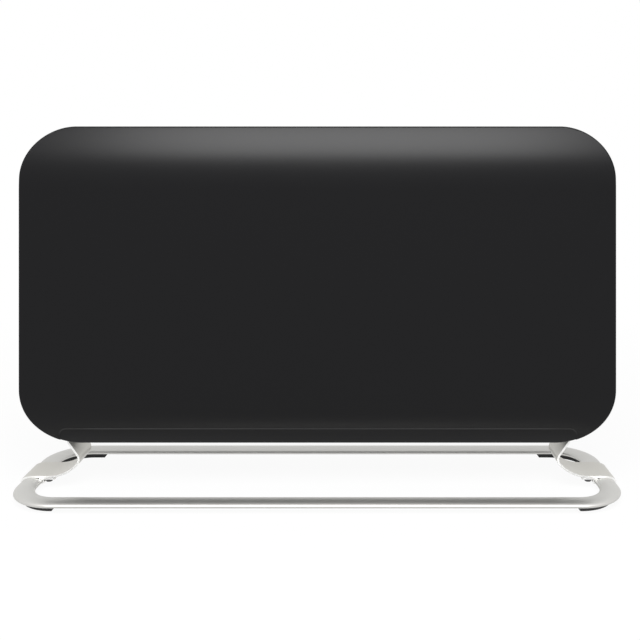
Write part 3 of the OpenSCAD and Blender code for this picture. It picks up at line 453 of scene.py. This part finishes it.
def fin_sheet(tones):
    """Stamped aluminium with lines across the fins."""
    return skin("fin_sheet", "rolled_lines", tones.sheet, roughness=0.34, bump=0.00001,
                Stretch=(1.0, 0.05, 1.0), Metallic=1.0)


def sheath_steel(tones):
    """Steel tube darkened by heat."""
    return skin("sheath_steel", "rolled_lines", tones.sheath, roughness=0.5, bump=0.00001,
                Drift=0.6, Lines=400.0, Metallic=1.0)


def bush_ceramic(tones):
    """Unglazed ceramic."""
    return skin("bush_ceramic", "coat_skin", tones.ceramic, roughness=0.7, bump=0.00005,
                Grain=2200.0, Drift=0.1)


def plated_steel(tones):
    """Zinc-plated nuts and pins."""
    return skin("plated_steel", "rolled_lines", tones.zinc, roughness=0.3, bump=0.000006,
                Stretch=(1.0, 1.0, 1.0), Metallic=1.0)


def phenolic(tones):
    """Dark phenolic moulding."""
    return skin("phenolic", "coat_skin", tones.phenolic, roughness=0.45, bump=0.00004, Drift=0.35)


def turned_brass(tones):
    """Turned brass."""
    return skin("turned_brass", "rolled_lines", tones.brass, roughness=0.3, bump=0.000006,
                Stretch=(1.0, 0.1, 0.1), Metallic=1.0)


def knob_black(tones):
    """Black grip moulding of the knob."""
    return skin("knob_black", "coat_skin", tones.moulding, roughness=0.48, bump=0.00004,
                Grain=1700.0, Drift=0.1)


def switch_black(tones):
    """Black moulding of the switches and the cord inlet."""
    return skin("switch_black", "coat_skin", tones.switch, roughness=0.42, bump=0.00003,
                Grain=2000.0, Drift=0.1)


def rocker_gloss(tones):
    """Polished black moulding of the rockers."""
    return skin("rocker_gloss", "coat_skin", tones.rocker, roughness=0.2, bump=0.000004,
                Grain=500.0, Drift=0.1)


def lamp_lens(tones):
    """Clear orange-red lens, unlit."""
    return skin("lamp_lens", "coat_skin", tones.lamp, roughness=0.12, bump=0.00002, Grain=600.0,
                Drift=0.2, Coat_Weight=0.6)


def block_plastic(tones):
    """Off-white terminal block."""
    return skin("block_plastic", "coat_skin", tones.block, roughness=0.5, bump=0.00003, Drift=0.08)


def black_steel(tones):
    """Blackened steel of the screws."""
    return skin("black_steel", "coat_skin", tones.screw, roughness=0.36, bump=0.00001,
                Grain=2600.0, Drift=0.3, Metallic=0.6)


def panel_print(tones):
    """Pad-printed marks."""
    return skin("panel_print", "coat_skin", tones.print_white, roughness=0.6, bump=0.00001,
                Grain=2600.0, Drift=0.08)


# Mesh helpers


def finished(name, bm, material, body, slot, *nodes, smooth=35.0):
    """Makes a bmesh a piece, with its material, its body and the nodes that it stands for."""
    mesh = bpy.data.meshes.new(name)
    bm.to_mesh(mesh)
    bm.free()
    piece = bpy.data.objects.new(name, mesh)
    bpy.context.scene.collection.objects.link(piece)
    mesh.materials.append(material)
    mesh.shade_smooth()
    mesh.set_sharp_from_angle(angle=math.radians(smooth))
    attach(piece, body)
    if nodes:
        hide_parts(*nodes)
    return piece


def dress(nodes, material):
    """Gives CAD nodes their finish."""
    for node in nodes:
        mesh = NODES[node].data
        mesh.materials.clear()
        mesh.materials.append(material)


def even_shading(piece):
    """Flats stay flat where they meet a rounded edge."""
    weigh = piece.modifiers.new("flats", "WEIGHTED_NORMAL")
    weigh.keep_sharp = True
    weigh.weight = FLAT_WEIGHT


def ease_edges(bm, radius, segments=2):
    """Rounds every sharp edge."""
    sharp = [e for e in bm.edges
             if len(e.link_faces) == 2 and e.calc_face_angle(0.0) > SHARP]
    bmesh.ops.bevel(bm, geom=sharp, offset=radius, offset_type="OFFSET", segments=segments,
                    profile=0.5, affect="EDGES", clamp_overlap=True, material=-1)


def merged_copy(node):
    """A CAD node's mesh with its doubles merged and its flats made whole."""
    bm = bmesh.new()
    bm.from_mesh(NODES[node].data)
    bmesh.ops.remove_doubles(bm, verts=bm.verts, dist=TINY)
    bmesh.ops.dissolve_limit(bm, angle_limit=SAME_FLAT, verts=bm.verts, edges=bm.edges)
    return bm


def eased_node(node, material, body, slot, radius, cut=None):
    """A CAD node with its edges rounded as a moulding's or a pressing's are.

    cut is a lighter finish for the faces that look along Y, where a strip was cut off; it paints
    the highlight these edges catch.
    """
    bm = merged_copy(node)
    ease_edges(bm, radius)
    if cut:
        for face in bm.faces:
            face.material_index = 1 if abs(face.normal.y) > EDGE_HIGHLIGHT_FACING else 0
    piece = finished(node + "_skin", bm, material, body, slot, node)
    if cut:
        piece.data.materials.append(cut)
    even_shading(piece)


def islands(bm):
    """The separate solids of a mesh, each as its vertices."""
    left = set(bm.verts)
    while left:
        grown = {left.pop()}
        rim = set(grown)
        while rim:
            rim = {edge.other_vert(v) for v in rim for edge in v.link_edges} - grown
            grown |= rim
        left -= grown
        yield grown


def cut_away(bm, cutter):
    """Takes the cutter's volume out of a mesh."""
    holders = []
    for name, part in (("blank", bm), ("cutter", cutter)):
        mesh = bpy.data.meshes.new(name)
        part.to_mesh(mesh)
        part.free()
        holder = bpy.data.objects.new(name, mesh)
        bpy.context.scene.collection.objects.link(holder)
        holders.append(holder)
    cut = holders[0].modifiers.new("cut", "BOOLEAN")
    cut.operation = "DIFFERENCE"
    cut.solver = "EXACT"
    cut.use_self = True
    cut.object = holders[1]
    made = bmesh.new()
    made.from_object(holders[0], bpy.context.evaluated_depsgraph_get())
    for holder in holders:
        mesh = holder.data
        bpy.data.objects.remove(holder)
        bpy.data.meshes.remove(mesh)
    return made


def cross_screws(node, material, axis, dome, outward):
    """Screws along an axis, with domed heads and a cross recess.

    outward tells which way along the axis a head at a place looks: 1 or -1.
    """
    bm = merged_copy(node)
    cutter = bmesh.new()
    for solid in islands(bm):
        low = Vector([min(v.co[i] for v in solid) for i in range(3)])
        high = Vector([max(v.co[i] for v in solid) for i in range(3)])
        centre = (low + high) / 2
        sign = outward(centre)
        centre[axis] = high[axis] if sign > 0 else low[axis]
        head = min((high - low)[i] for i in range(3) if i != axis)
        aim = Vector([sign if i == axis else 0.0 for i in range(3)]).to_track_quat("Z", "Y")
        aim = Matrix.Translation(centre) @ aim.to_matrix().to_4x4()
        size = Matrix.Diagonal(
            (head * CROSS_LENGTH, head * CROSS_WIDTH, head * CROSS_HEIGHT, 1))
        for quarter in (0.0, math.pi / 2):
            bar = aim @ Matrix.Rotation(quarter + math.pi / 4, 4, "Z") @ size
            bmesh.ops.create_cube(cutter, size=1.0, matrix=bar)
    ease_edges(bm, dome, DOME_CUTS)
    piece = finished(node + "_skin", cut_away(bm, cutter), material, HEATER, "black_steel", node)
    even_shading(piece)


def slice_at(bm, place, normal):
    """Cuts every face along a plane without parting them."""
    bmesh.ops.bisect_plane(bm, geom=bm.verts[:] + bm.edges[:] + bm.faces[:], dist=TINY,
                           plane_co=place, plane_no=normal)


def flat_face(bm, width, height, matrix):
    """A rectangle about the origin, in place."""
    bmesh.ops.create_grid(bm, x_segments=1, y_segments=1, size=0.5,
                          matrix=matrix @ Matrix.Diagonal((width, height, 1, 1)))


def round_corners(bm, verts, radius):
    """Rounds the corners of a flat face."""
    bmesh.ops.bevel(bm, geom=verts, offset=radius, offset_type="OFFSET", segments=CORNER_CUTS,
                    profile=0.5, affect="VERTICES", material=-1)


def points_of(geom):
    """The vertices among what an operator made."""
    return [g for g in geom if isinstance(g, bmesh.types.BMVert)]


def edges_of(geom):
    """The edges among what an operator made."""
    return [g for g in geom if isinstance(g, bmesh.types.BMEdge)]


def drawn(bm, edges, vec):
    """Draws edges out along a vector and gives the far end's vertices and edges."""
    made = bmesh.ops.extrude_edge_only(bm, edges=edges)["geom"]
    bmesh.ops.translate(bm, verts=points_of(made), vec=vec)
    return points_of(made) + edges_of(made)


# The shells


def steps(low, high, pitch):
    """Evenly spaced places between two, ends left out."""
    count = max(1, round((high - low) / pitch))
    return [low + (high - low) * i / count for i in range(1, count)]


def set_back(shell, z):
    """How far the face lies behind its flat at height z."""
    radius = (shell.lean_height ** 2 + shell.lean_depth ** 2) / (2 * shell.lean_depth)
    past = max(z - (SHELL_HIGH.z - shell.lean_height), SHELL_LOW.z + shell.lean_height - z, 0.0)
    return radius - math.sqrt(radius ** 2 - past ** 2)


def step_share(shell, x, z):
    """0 outside the pressed step, 1 on its floor, with a smooth slope between."""
    across = abs(x) - (SHELL_HIGH.x - shell.step_side - shell.step_radius)
    above = z - (SHELL_LOW.z + shell.step_height - shell.step_radius)
    off = math.hypot(max(across, 0), max(above, 0)) + min(max(across, above), 0) - shell.step_radius
    t = min(max(0.5 - off / shell.step_slope, 0.0), 1.0)
    return t * t * (3 - 2 * t)


def shell_skin(shell):
    """The front shell's skin: an outline with a flange, cut finely and pushed to its curve."""
    bm = bmesh.new()
    middle = (SHELL_LOW.z + SHELL_HIGH.z) / 2
    upright = Matrix.Translation((0, 0, middle)) @ Matrix.Rotation(math.pi / 2, 4, "X")
    flat_face(bm, SHELL_HIGH.x - SHELL_LOW.x, SHELL_HIGH.z - SHELL_LOW.z, upright)
    top = [v for v in bm.verts if v.co.z > middle]
    round_corners(bm, top, shell.top_radius)
    bottom = [v for v in bm.verts if v.co.z < SHELL_LOW.z + TINY]
    round_corners(bm, bottom, shell.bottom_radius)
    edge = bm.edges[:]
    drawn(bm, edge, (0, shell.flange, 0))
    bmesh.ops.bevel(bm, geom=edge, offset=shell.rim, offset_type="OFFSET", segments=RIM_CUTS,
                    profile=0.5, affect="EDGES", material=-1)
    foot = SHELL_LOW.z
    step_top = foot + shell.step_height
    fine = shell.step_slope / 4
    rows = steps(foot, step_top - shell.step_radius, ROW_PITCH)
    rows += steps(step_top - shell.step_radius - fine, step_top + shell.step_slope, fine)
    rows += steps(step_top + shell.step_slope, foot + shell.lean_height, ROW_PITCH)
    rows += [foot + shell.lean_height, SHELL_HIGH.z - shell.lean_height]
    rows += steps(SHELL_HIGH.z - shell.lean_height, SHELL_HIGH.z, ROW_PITCH)
    for z in rows:
        slice_at(bm, (0, 0, z), (0, 0, 1))
    side = SHELL_HIGH.x - shell.step_side
    for x in steps(side - shell.step_radius - fine, side + shell.step_slope, fine):
        for sign in (-1, 1):
            slice_at(bm, (sign * x, 0, 0), (1, 0, 0))
    for v in bm.verts:
        pressed = step_share(shell, v.co.x, v.co.z) * shell.step_depth
        v.co.y += SHELL_LOW.y + set_back(shell, v.co.z) + pressed
    bmesh.ops.recalc_face_normals(bm, faces=bm.faces)
    largest = max(bm.faces, key=lambda f: f.calc_area())
    if largest.normal.y > 0:
        bmesh.ops.reverse_faces(bm, faces=bm.faces)
    return bm


def thicken(piece, thickness, offset):
    """Gives a skin its sheet's thickness: inwards at an offset of -1, to both sides at 0."""
    wall = piece.modifiers.new("sheet", "SOLIDIFY")
    wall.thickness = thickness
    wall.offset = offset
    wall.use_even_offset = True
    return wall


class HEATER_OT_shells(bpy.types.Operator):
    """Front and rear shell: pressed sheet with a leaning face, a step and a return flange"""

    bl_idname = "heater.shells"
    bl_label = "Shells"

    def execute(self, context):
        shell = context.scene.heater_shell
        coat = shell_coat(context.scene.heater_tones)
        for name in ("front_shell", "rear_shell"):
            bm = shell_skin(shell)
            if name == "rear_shell":
                bmesh.ops.scale(bm, vec=(1, -1, 1), verts=bm.verts)
                bmesh.ops.reverse_faces(bm, faces=bm.faces)
            piece = finished(name + "_skin", bm, coat, HEATER, "shell_paint", name, smooth=50)
            thicken(piece, shell.sheet, -1.0)
            even_shading(piece)
        return {"FINISHED"}


# Caps and grilles


class HEATER_OT_caps(bpy.types.Operator):
    """Moulded end caps with their hand grips"""

    bl_idname = "heater.caps"
    bl_label = "End caps"

    def execute(self, context):
        moulding = moulded_black(context.scene.heater_tones)
        edges = context.scene.heater_edges
        for node in ("end_cap_left", "end_cap_right"):
            eased_node(node, moulding, HEATER, "cap_plastic", edges.cap)
        return {"FINISHED"}


class HEATER_OT_grilles(bpy.types.Operator):
    """Outlet grille with its blades and slotted inlet grille"""

    bl_idname = "heater.grilles"
    bl_label = "Grilles"

    def execute(self, context):
        moulding = moulded_black(context.scene.heater_tones)
        edges = context.scene.heater_edges
        for node in ("outlet_grille", "inlet_grille"):
            eased_node(node, moulding, HEATER, "grille_plastic", edges.grille)
        return {"FINISHED"}


# The stand


def tube_ring(stand):
    """The oval tube, drawn along the front and rear and spun round the four corners."""
    bm = bmesh.new()
    middle = (RING_LOW.z + RING_HIGH.z) / 2
    across = RING_HIGH.x - stand.tube_width / 2 - stand.corner
    back = RING_HIGH.y - stand.tube_width / 2 - stand.corner
    start = Matrix.Translation((-across, RING_LOW.y + stand.tube_width / 2, middle))
    start = start @ Matrix.Rotation(math.pi / 2, 4, "Z") @ Matrix.Rotation(math.pi / 2, 4, "X")
    start = start @ Matrix.Diagonal((stand.tube_width, RING_HIGH.z - RING_LOW.z, 1, 1))
    bmesh.ops.create_circle(bm, cap_ends=False, radius=0.5, segments=OVAL_SIDES, matrix=start)
    loop = bm.edges[:]
    runs = ((2 * across, 0), (0, 2 * back), (-2 * across, 0), (0, -2 * back))
    corners = ((across, -back), (across, back), (-across, back), (-across, -back))
    for run, corner in zip(runs, corners):
        loop = drawn(bm, edges_of(loop), (*run, 0))
        made = bmesh.ops.spin(bm, geom=loop, cent=(*corner, middle), axis=(0, 0, 1),
                              angle=math.pi / 2, steps=RING_BEND_CUTS)
        loop = made["geom_last"]
    bmesh.ops.remove_doubles(bm, verts=bm.verts, dist=WELD)
    bmesh.ops.recalc_face_normals(bm, faces=bm.faces)
    return bm


def ribbon_strip(stand):
    """The right bracket's middle surface: an edge spun and drawn along the ribbon's route."""
    bm = bmesh.new()
    middle = (RING_LOW.z + RING_HIGH.z) / 2
    centre = Vector((RING_HIGH.x - stand.tube_width / 2, 0, middle))
    half_width = (stand.tube_width + stand.ribbon) / 2
    half_height = (RING_HIGH.z - RING_LOW.z + stand.ribbon) / 2
    long_centre = centre + Vector((-stand.lead, 0, half_height + stand.long_radius))
    reach = stand.long_radius - stand.tight_radius
    aside = Vector((math.sin(stand.long_turn), 0, math.cos(stand.long_turn)))
    tight_centre = long_centre - aside * reach
    widths = (-stand.ribbon_width / 2, -stand.tongue_width / 2, stand.tongue_width / 2,
              stand.ribbon_width / 2)
    verts = [bm.verts.new((0, y, 1)) for y in widths]
    line = [bm.edges.new(pair) for pair in zip(verts, verts[1:])]
    bmesh.ops.rotate(bm, verts=verts, cent=(0, 0, 0),
                     matrix=Matrix.Rotation(stand.saddle, 4, "Y"))

    def spun(geom, pivot, angle, count):
        made = bmesh.ops.spin(bm, geom=geom, cent=pivot, axis=(0, 1, 0), angle=angle, steps=count)
        return made["geom_last"]

    # A round saddle, pressed to the tube's oval
    end = spun(verts + line, (0, 0, 0), -stand.saddle, SADDLE_CUTS)
    bmesh.ops.scale(bm, vec=(half_width, 1, half_height), verts=bm.verts)
    bmesh.ops.translate(bm, vec=centre, verts=bm.verts)
    # The lead, the two bends and the upper run
    end = drawn(bm, edges_of(end), (-stand.lead, 0, 0))
    end = spun(end, long_centre, stand.long_turn, LONG_BEND_CUTS)
    turn_left = math.pi - stand.long_turn - stand.rise
    end = spun(end, tight_centre, turn_left, TIGHT_BEND_CUTS)
    slope = Vector((math.cos(stand.rise), 0, math.sin(stand.rise)))
    first = (stand.shoulder - min(v.co.z for v in points_of(end))) / slope.z
    end = drawn(bm, edges_of(end), slope * first)
    # Only the tongue goes on past the shoulders
    reach = stand.tongue_width / 2 + TINY
    inner = [e for e in edges_of(end) if all(abs(v.co.y) < reach for v in e.verts)]
    drawn(bm, inner, slope * (stand.rise_length - first))
    bmesh.ops.remove_doubles(bm, verts=bm.verts, dist=TINY)
    bmesh.ops.recalc_face_normals(bm, faces=bm.faces)
    return bm


def clip_studs(edge):
    """The studs under the ribbons that the clips' nuts are done up on."""
    bm = bmesh.new()
    low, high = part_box("ring_clip_nuts")
    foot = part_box("bracket_right")[0].z
    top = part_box("ring_clip_right")[1].z
    for x in (low.x + NUT_CORNER, high.x - NUT_CORNER):
        for y in (low.y + NUT_FLAT, high.y - NUT_FLAT):
            place = Matrix.Translation((x, y, (foot + top) / 2))
            bmesh.ops.create_cone(bm, cap_ends=True, segments=STUD_SIDES, radius1=STUD_RADIUS,
                                  radius2=STUD_RADIUS, depth=top - foot, matrix=place)
    ease_edges(bm, edge)
    return bm


class HEATER_OT_stand(bpy.types.Operator):
    """Oval tube ring, ribbon brackets, clips and pads"""

    bl_idname = "heater.stand"
    bl_label = "Stand"

    def execute(self, context):
        stand = context.scene.heater_stand
        tones = context.scene.heater_tones
        edges = context.scene.heater_edges
        silver = satin_silver(tones)
        edge_highlight = bright_cut(tones)
        ring = finished("tube_ring", tube_ring(stand), tube_silver(tones), HEATER, "stand_steel",
                        "base_ring", smooth=60)
        even_shading(ring)
        finished("clip_studs", clip_studs(edges.stud), plated_steel(tones), HEATER, "stand_steel")
        for side, sign in (("right", 1), ("left", -1)):
            bm = ribbon_strip(stand)
            if sign < 0:
                bmesh.ops.scale(bm, vec=(-1, 1, 1), verts=bm.verts)
                bmesh.ops.reverse_faces(bm, faces=bm.faces)
            node = "bracket_" + side
            piece = finished("ribbon_" + side, bm, silver, HEATER, "stand_steel", node, smooth=60)
            # The sheet's rim, its cut edge, takes the lighter cut finish: a painted highlight.
            piece.data.materials.append(edge_highlight)
            thicken(piece, stand.ribbon, 0.0).material_offset_rim = 1
            soft = piece.modifiers.new("edges", "BEVEL")
            soft.width = edges.ribbon
            soft.segments = 2
            soft.limit_method = "ANGLE"
            soft.angle_limit = RIBBON_SHARP
            even_shading(piece)
            # The clip's faces along Y also take the lighter cut finish: a painted highlight.
            eased_node("ring_clip_" + side, silver, HEATER, "stand_steel", edges.clip, edge_highlight)
            for end in ("front", "rear"):
                eased_node(f"pad_{end}_{side}", pad_rubber(tones), HEATER, "pad_rubber", edges.pad)
        return {"FINISHED"}


# Controls


def marks(entries, ink):
    """Flat printed marks: each entry is a text, its height and its place, to be read along -X."""
    bm = bmesh.new()
    turned = Matrix.Rotation(math.pi / 2, 4, "Z") @ Matrix.Rotation(math.pi / 2, 4, "X")
    for text, size, place in entries:
        curve = bpy.data.curves.new("mark", "FONT")
        curve.body = text
        curve.size = size
        curve.align_x = "CENTER"
        curve.align_y = "CENTER"
        curve.extrude = ink
        holder = bpy.data.objects.new("mark", curve)
        bpy.context.scene.collection.objects.link(holder)
        bpy.context.view_layer.update()
        mesh = bpy.data.meshes.new_from_object(holder)
        mesh.transform(place @ turned)
        bm.from_mesh(mesh)
        bpy.data.objects.remove(holder)
        bpy.data.curves.remove(curve)
        bpy.data.meshes.remove(mesh)
    return bm


def dial_marks(sizes):
    """The numbers round the knob, and the ticks inside them."""
    face = Vector((PANEL_X + sizes.ink, 0, KNOB_AXIS.z))
    numbers = []
    for number in range(DIAL_TOP + 1):
        angle = -DIAL_SWEEP / 2 + DIAL_SWEEP * number / DIAL_TOP
        aside = Vector((0, math.sin(angle), math.cos(angle))) * sizes.number_radius
        numbers.append((str(number), sizes.number_height, Matrix.Translation(face + aside)))
    bm = marks(numbers, sizes.ink)
    gaps = DIAL_TOP * TICKS_A_NUMBER
    for i in range(gaps + 1):
        angle = -DIAL_SWEEP / 2 + DIAL_SWEEP * i / gaps
        tall = sizes.short_tick if i % TICKS_A_NUMBER else sizes.long_tick
        place = Matrix.Translation(face) @ Matrix.Rotation(-angle, 4, "X")
        place = place @ Matrix.Translation((0, 0, sizes.tick_radius))
        place = place @ Matrix.Diagonal((2 * sizes.ink, sizes.tick_width, tall, 1))
        bmesh.ops.create_cube(bm, size=1.0, matrix=place)
    return bm


def knob_pointer(sizes):
    """The line let into the knob's face, which points to the lowest setting at rest."""
    bm = bmesh.new()
    place = Matrix.Translation((KNOB_FACE_X, 0, KNOB_AXIS.z))
    place = place @ Matrix.Rotation(DIAL_SWEEP / 2, 4, "X")
    place = place @ Matrix.Translation((0, 0, sizes.pointer_radius))
    size = (sizes.pointer_depth, sizes.pointer_width, sizes.pointer_length, 1)
    bmesh.ops.create_cube(bm, size=1.0, matrix=place @ Matrix.Diagonal(size))
    return bm


def rocker_marks(side, sizes):
    """I on the rocker's upper flat and O on its lower one, as it lies when off."""
    pivot = Vector(JOINTS[side + "_switch_rock"]["pos_m"])
    lie = Matrix.Translation(pivot) @ Matrix.Rotation(ROCKER_REST, 4, "Y")
    lie = lie @ Matrix.Translation((ROCKER_FACE, 0, 0))
    entries = []
    for text, up in (("I", 1), ("O", -1)):
        place = lie @ Matrix.Rotation(up * ROCKER_SLOPE, 4, "Y")
        place = place @ Matrix.Translation((sizes.ink, 0, up * sizes.rocker_place))
        entries.append((text, sizes.rocker_mark, place))
    return marks(entries, sizes.ink)


class HEATER_OT_controls(bpy.types.Operator):
    """Thermostat knob, rocker switches, pilot lamp and the panel's marks"""

    bl_idname = "heater.controls"
    bl_label = "Controls"

    def execute(self, context):
        tones = context.scene.heater_tones
        edges = context.scene.heater_edges
        sizes = context.scene.heater_print
        ink = panel_print(tones)
        case = switch_black(tones)
        gloss = rocker_gloss(tones)
        eased_node("thermostat_knob", knob_black(tones), "knob", "knob_plastic", edges.knob)
        dress(["thermostat_spindle"], turned_brass(tones))
        for side in ("front", "rear"):
            body = side + "_switch"
            eased_node(body + "_body", case, HEATER, "switch_plastic", edges.switch)
            eased_node(side + "_rocker", gloss, body, "rocker_plastic", edges.rocker)
        eased_node("pilot_lamp", lamp_lens(tones), HEATER, "lamp_lens", edges.lamp)
        finished("dial_marks", dial_marks(sizes), ink, HEATER, "cap_plastic")
        finished("knob_pointer", knob_pointer(sizes), ink, "knob", "knob_plastic")
        for side in ("front", "rear"):
            finished(side + "_rocker_marks", rocker_marks(side, sizes), ink, side + "_switch",
                     "rocker_plastic")
        return {"FINISHED"}


# What lies inside, and the fasteners


class HEATER_OT_workings(bpy.types.Operator):
    """Finishes of the frame, the duct, the element and the small electrical pieces"""

    bl_idname = "heater.workings"
    bl_label = "Workings"

    def execute(self, context):
        tones = context.scene.heater_tones
        dress(["end_frame_left", "end_frame_right", "upper_rails", "lower_rails"],
              zinc_sheet(tones))
        dress(["front_liner", "rear_liner", "duct_end_left", "duct_end_right", "element_hangers"],
              liner_sheet(tones))
        dress(["element_fins"], fin_sheet(tones))
        dress(["element_sheath"], sheath_steel(tones))
        dress(["ceramic_bushes"], bush_ceramic(tones))
        dress(["terminal_pins", "thermostat_nut", "tongue_nuts", "front_shell_nuts"],
              plated_steel(tones))
        dress(["overheat_cutout", "thermostat_body"], phenolic(tones))
        dress(["terminal_block"], block_plastic(tones))
        dress(["earth_screw"], turned_brass(tones))
        return {"FINISHED"}


class HEATER_OT_fasteners(bpy.types.Operator):
    """Screws, nuts and the cord inlet's bush"""

    bl_idname = "heater.fasteners"
    bl_label = "Fasteners"

    def execute(self, context):
        tones = context.scene.heater_tones
        edges = context.scene.heater_edges
        steel = black_steel(tones)
        for node in ("ring_clip_nuts", "tongue_screws"):
            eased_node(node, steel, HEATER, "black_steel", edges.nut)
        middle = (SHELL_LOW.z + SHELL_HIGH.z) / 2
        cross_screws("end_cap_screws", steel, 0, edges.cap_screw,
                     lambda place: math.copysign(1, place.x))
        cross_screws("rear_shell_screws", steel, 1, edges.rear_screw, lambda place: 1)
        cross_screws("grille_screws", steel, 2, edges.grille_screw,
                     lambda place: math.copysign(1, place.z - middle))
        eased_node("cord_gland", switch_black(tones), HEATER, "switch_plastic", edges.bush)
        return {"FINISHED"}


# The stage


def seen_rays(tree):
    """1 for what the camera sees by itself, in gloss or through glass, and 0 for plain light."""
    path = add(tree, "ShaderNodeLightPath")
    seen = maths(tree, "MAXIMUM", path.outputs["Is Camera Ray"], path.outputs["Is Glossy Ray"])
    return maths(tree, "MAXIMUM", seen, path.outputs["Is Transmission Ray"])


def white_floor():
    """A floor that the camera sees as white, with the object's shadow left in it."""
    material = bpy.data.materials.new("white_floor")
    material.use_nodes = True
    tree = material.node_tree
    surface = tree.nodes["Principled BSDF"]
    surface.inputs["Base Color"].default_value = FLOOR_TONE
    surface.inputs["Roughness"].default_value = 0.9
    surface.inputs["Specular IOR Level"].default_value = 0.0
    glow = add(tree, "ShaderNodeEmission", in_Strength=1.0)
    place = add(tree, "ShaderNodeTexCoord")
    far = add(tree, "ShaderNodeVectorMath", operation="LENGTH")
    tree.links.new(place.outputs["Object"], far.inputs[0])
    spread = add(tree, "ShaderNodeMapRange", clamp=True, in_From_Min=FADE_FROM,
                 in_From_Max=FADE_TO, in_To_Min=NEAR_WHITE, in_To_Max=1.0)
    tree.links.new(far.outputs["Value"], spread.inputs["Value"])
    fill = maths(tree, "MULTIPLY", spread.outputs["Result"], seen_rays(tree))
    mix = add(tree, "ShaderNodeMixShader")
    tree.links.new(fill, mix.inputs["Fac"])
    tree.links.new(surface.outputs["BSDF"], mix.inputs[1])
    tree.links.new(glow.outputs["Emission"], mix.inputs[2])
    tree.links.new(mix.outputs["Shader"], tree.nodes["Material Output"].inputs["Surface"])
    return material


def softbox(name, place, target, width, height, power):
    """A rectangular lamp that faces a point."""
    lamp = bpy.data.lights.new(name, "AREA")
    lamp.shape = "RECTANGLE"
    lamp.size = width
    lamp.size_y = height
    lamp.energy = power
    holder = bpy.data.objects.new(name, lamp)
    bpy.context.scene.collection.objects.link(holder)
    holder.location = place
    aim = Vector(target) - Vector(place)
    holder.rotation_euler = aim.to_track_quat("-Z", "Y").to_euler()


def white_room(room):
    """A world that lights the heater plainly and shows as white behind it and in its gloss."""
    world = bpy.data.worlds.new("studio")
    world.use_nodes = True
    tree = world.node_tree
    tree.nodes.clear()
    plain = add(tree, "ShaderNodeBackground", in_Color=WHITE, in_Strength=room)
    white = add(tree, "ShaderNodeBackground", in_Color=WHITE, in_Strength=1.0)
    mix = add(tree, "ShaderNodeMixShader")
    out = add(tree, "ShaderNodeOutputWorld")
    tree.links.new(seen_rays(tree), mix.inputs["Fac"])
    tree.links.new(plain.outputs[0], mix.inputs[1])
    tree.links.new(white.outputs[0], mix.inputs[2])
    tree.links.new(mix.outputs[0], out.inputs["Surface"])
    return world


class HEATER_OT_stage(bpy.types.Operator):
    """Camera, floor, world and softbox"""

    bl_idname = "heater.stage"
    bl_label = "Stage"

    def execute(self, context):
        stage = context.scene.heater_stage
        scene = context.scene
        scene.view_settings.view_transform = "Standard"
        eye = bpy.data.cameras.new("eye")
        eye.sensor_width = 36.0
        eye.lens = stage.focal
        eye.shift_x = stage.shift_x
        eye.shift_y = stage.shift_y
        eye.clip_start = 0.01
        eye.clip_end = 100.0
        camera = bpy.data.objects.new("eye", eye)
        scene.collection.objects.link(camera)
        camera.location = (stage.eye_x, stage.eye_y, stage.eye_z)
        camera.rotation_euler = (math.pi / 2, 0, 0)
        scene.camera = camera
        bm = bmesh.new()
        bmesh.ops.create_grid(bm, x_segments=1, y_segments=1, size=FLOOR_SIZE)
        mesh = bpy.data.meshes.new("floor")
        bm.to_mesh(mesh)
        bm.free()
        floor = bpy.data.objects.new("floor", mesh)
        scene.collection.objects.link(floor)
        mesh.materials.append(white_floor())
        scene.world = white_room(stage.room)
        softbox("key_light", stage.key_place, stage.key_aim, stage.key_width, stage.key_height,
                stage.key)
        return {"FINISHED"}


class HEATER_PT_panel(bpy.types.Panel):
    """Lists the heater's pieces"""

    bl_label = "Heater"
    bl_idname = "HEATER_PT_panel"
    bl_space_type = "VIEW_3D"
    bl_region_type = "UI"
    bl_category = "Heater"

    def draw(self, context):
        for operator in OPERATORS:
            self.layout.operator(operator.bl_idname)


SETTINGS = {
    "heater_shell": HeaterShell,
    "heater_stand": HeaterStand,
    "heater_tones": HeaterTones,
    "heater_edges": HeaterEdges,
    "heater_print": HeaterPrint,
    "heater_stage": HeaterStage,
}
OPERATORS = (
    HEATER_OT_stage,
    HEATER_OT_shells,
    HEATER_OT_caps,
    HEATER_OT_grilles,
    HEATER_OT_stand,
    HEATER_OT_controls,
    HEATER_OT_workings,
    HEATER_OT_fasteners,
)


def register():
    """Registers the settings, operators and panel."""
    for name, group in SETTINGS.items():
        bpy.utils.register_class(group)
        setattr(bpy.types.Scene, name, bpy.props.PointerProperty(type=group))
    for operator in OPERATORS:
        bpy.utils.register_class(operator)
    bpy.utils.register_class(HEATER_PT_panel)


def unregister():
    """Takes them away again."""
    bpy.utils.unregister_class(HEATER_PT_panel)
    for operator in reversed(OPERATORS):
        bpy.utils.unregister_class(operator)
    for name, group in reversed(SETTINGS.items()):
        delattr(bpy.types.Scene, name)
        bpy.utils.unregister_class(group)


def main():
    """Builds the pieces in order."""
    register()
    for operator in OPERATORS:
        step = operator.bl_idname.split(".")[1]
        getattr(bpy.ops.heater, step)()


if __name__ == "__main__":
    main()
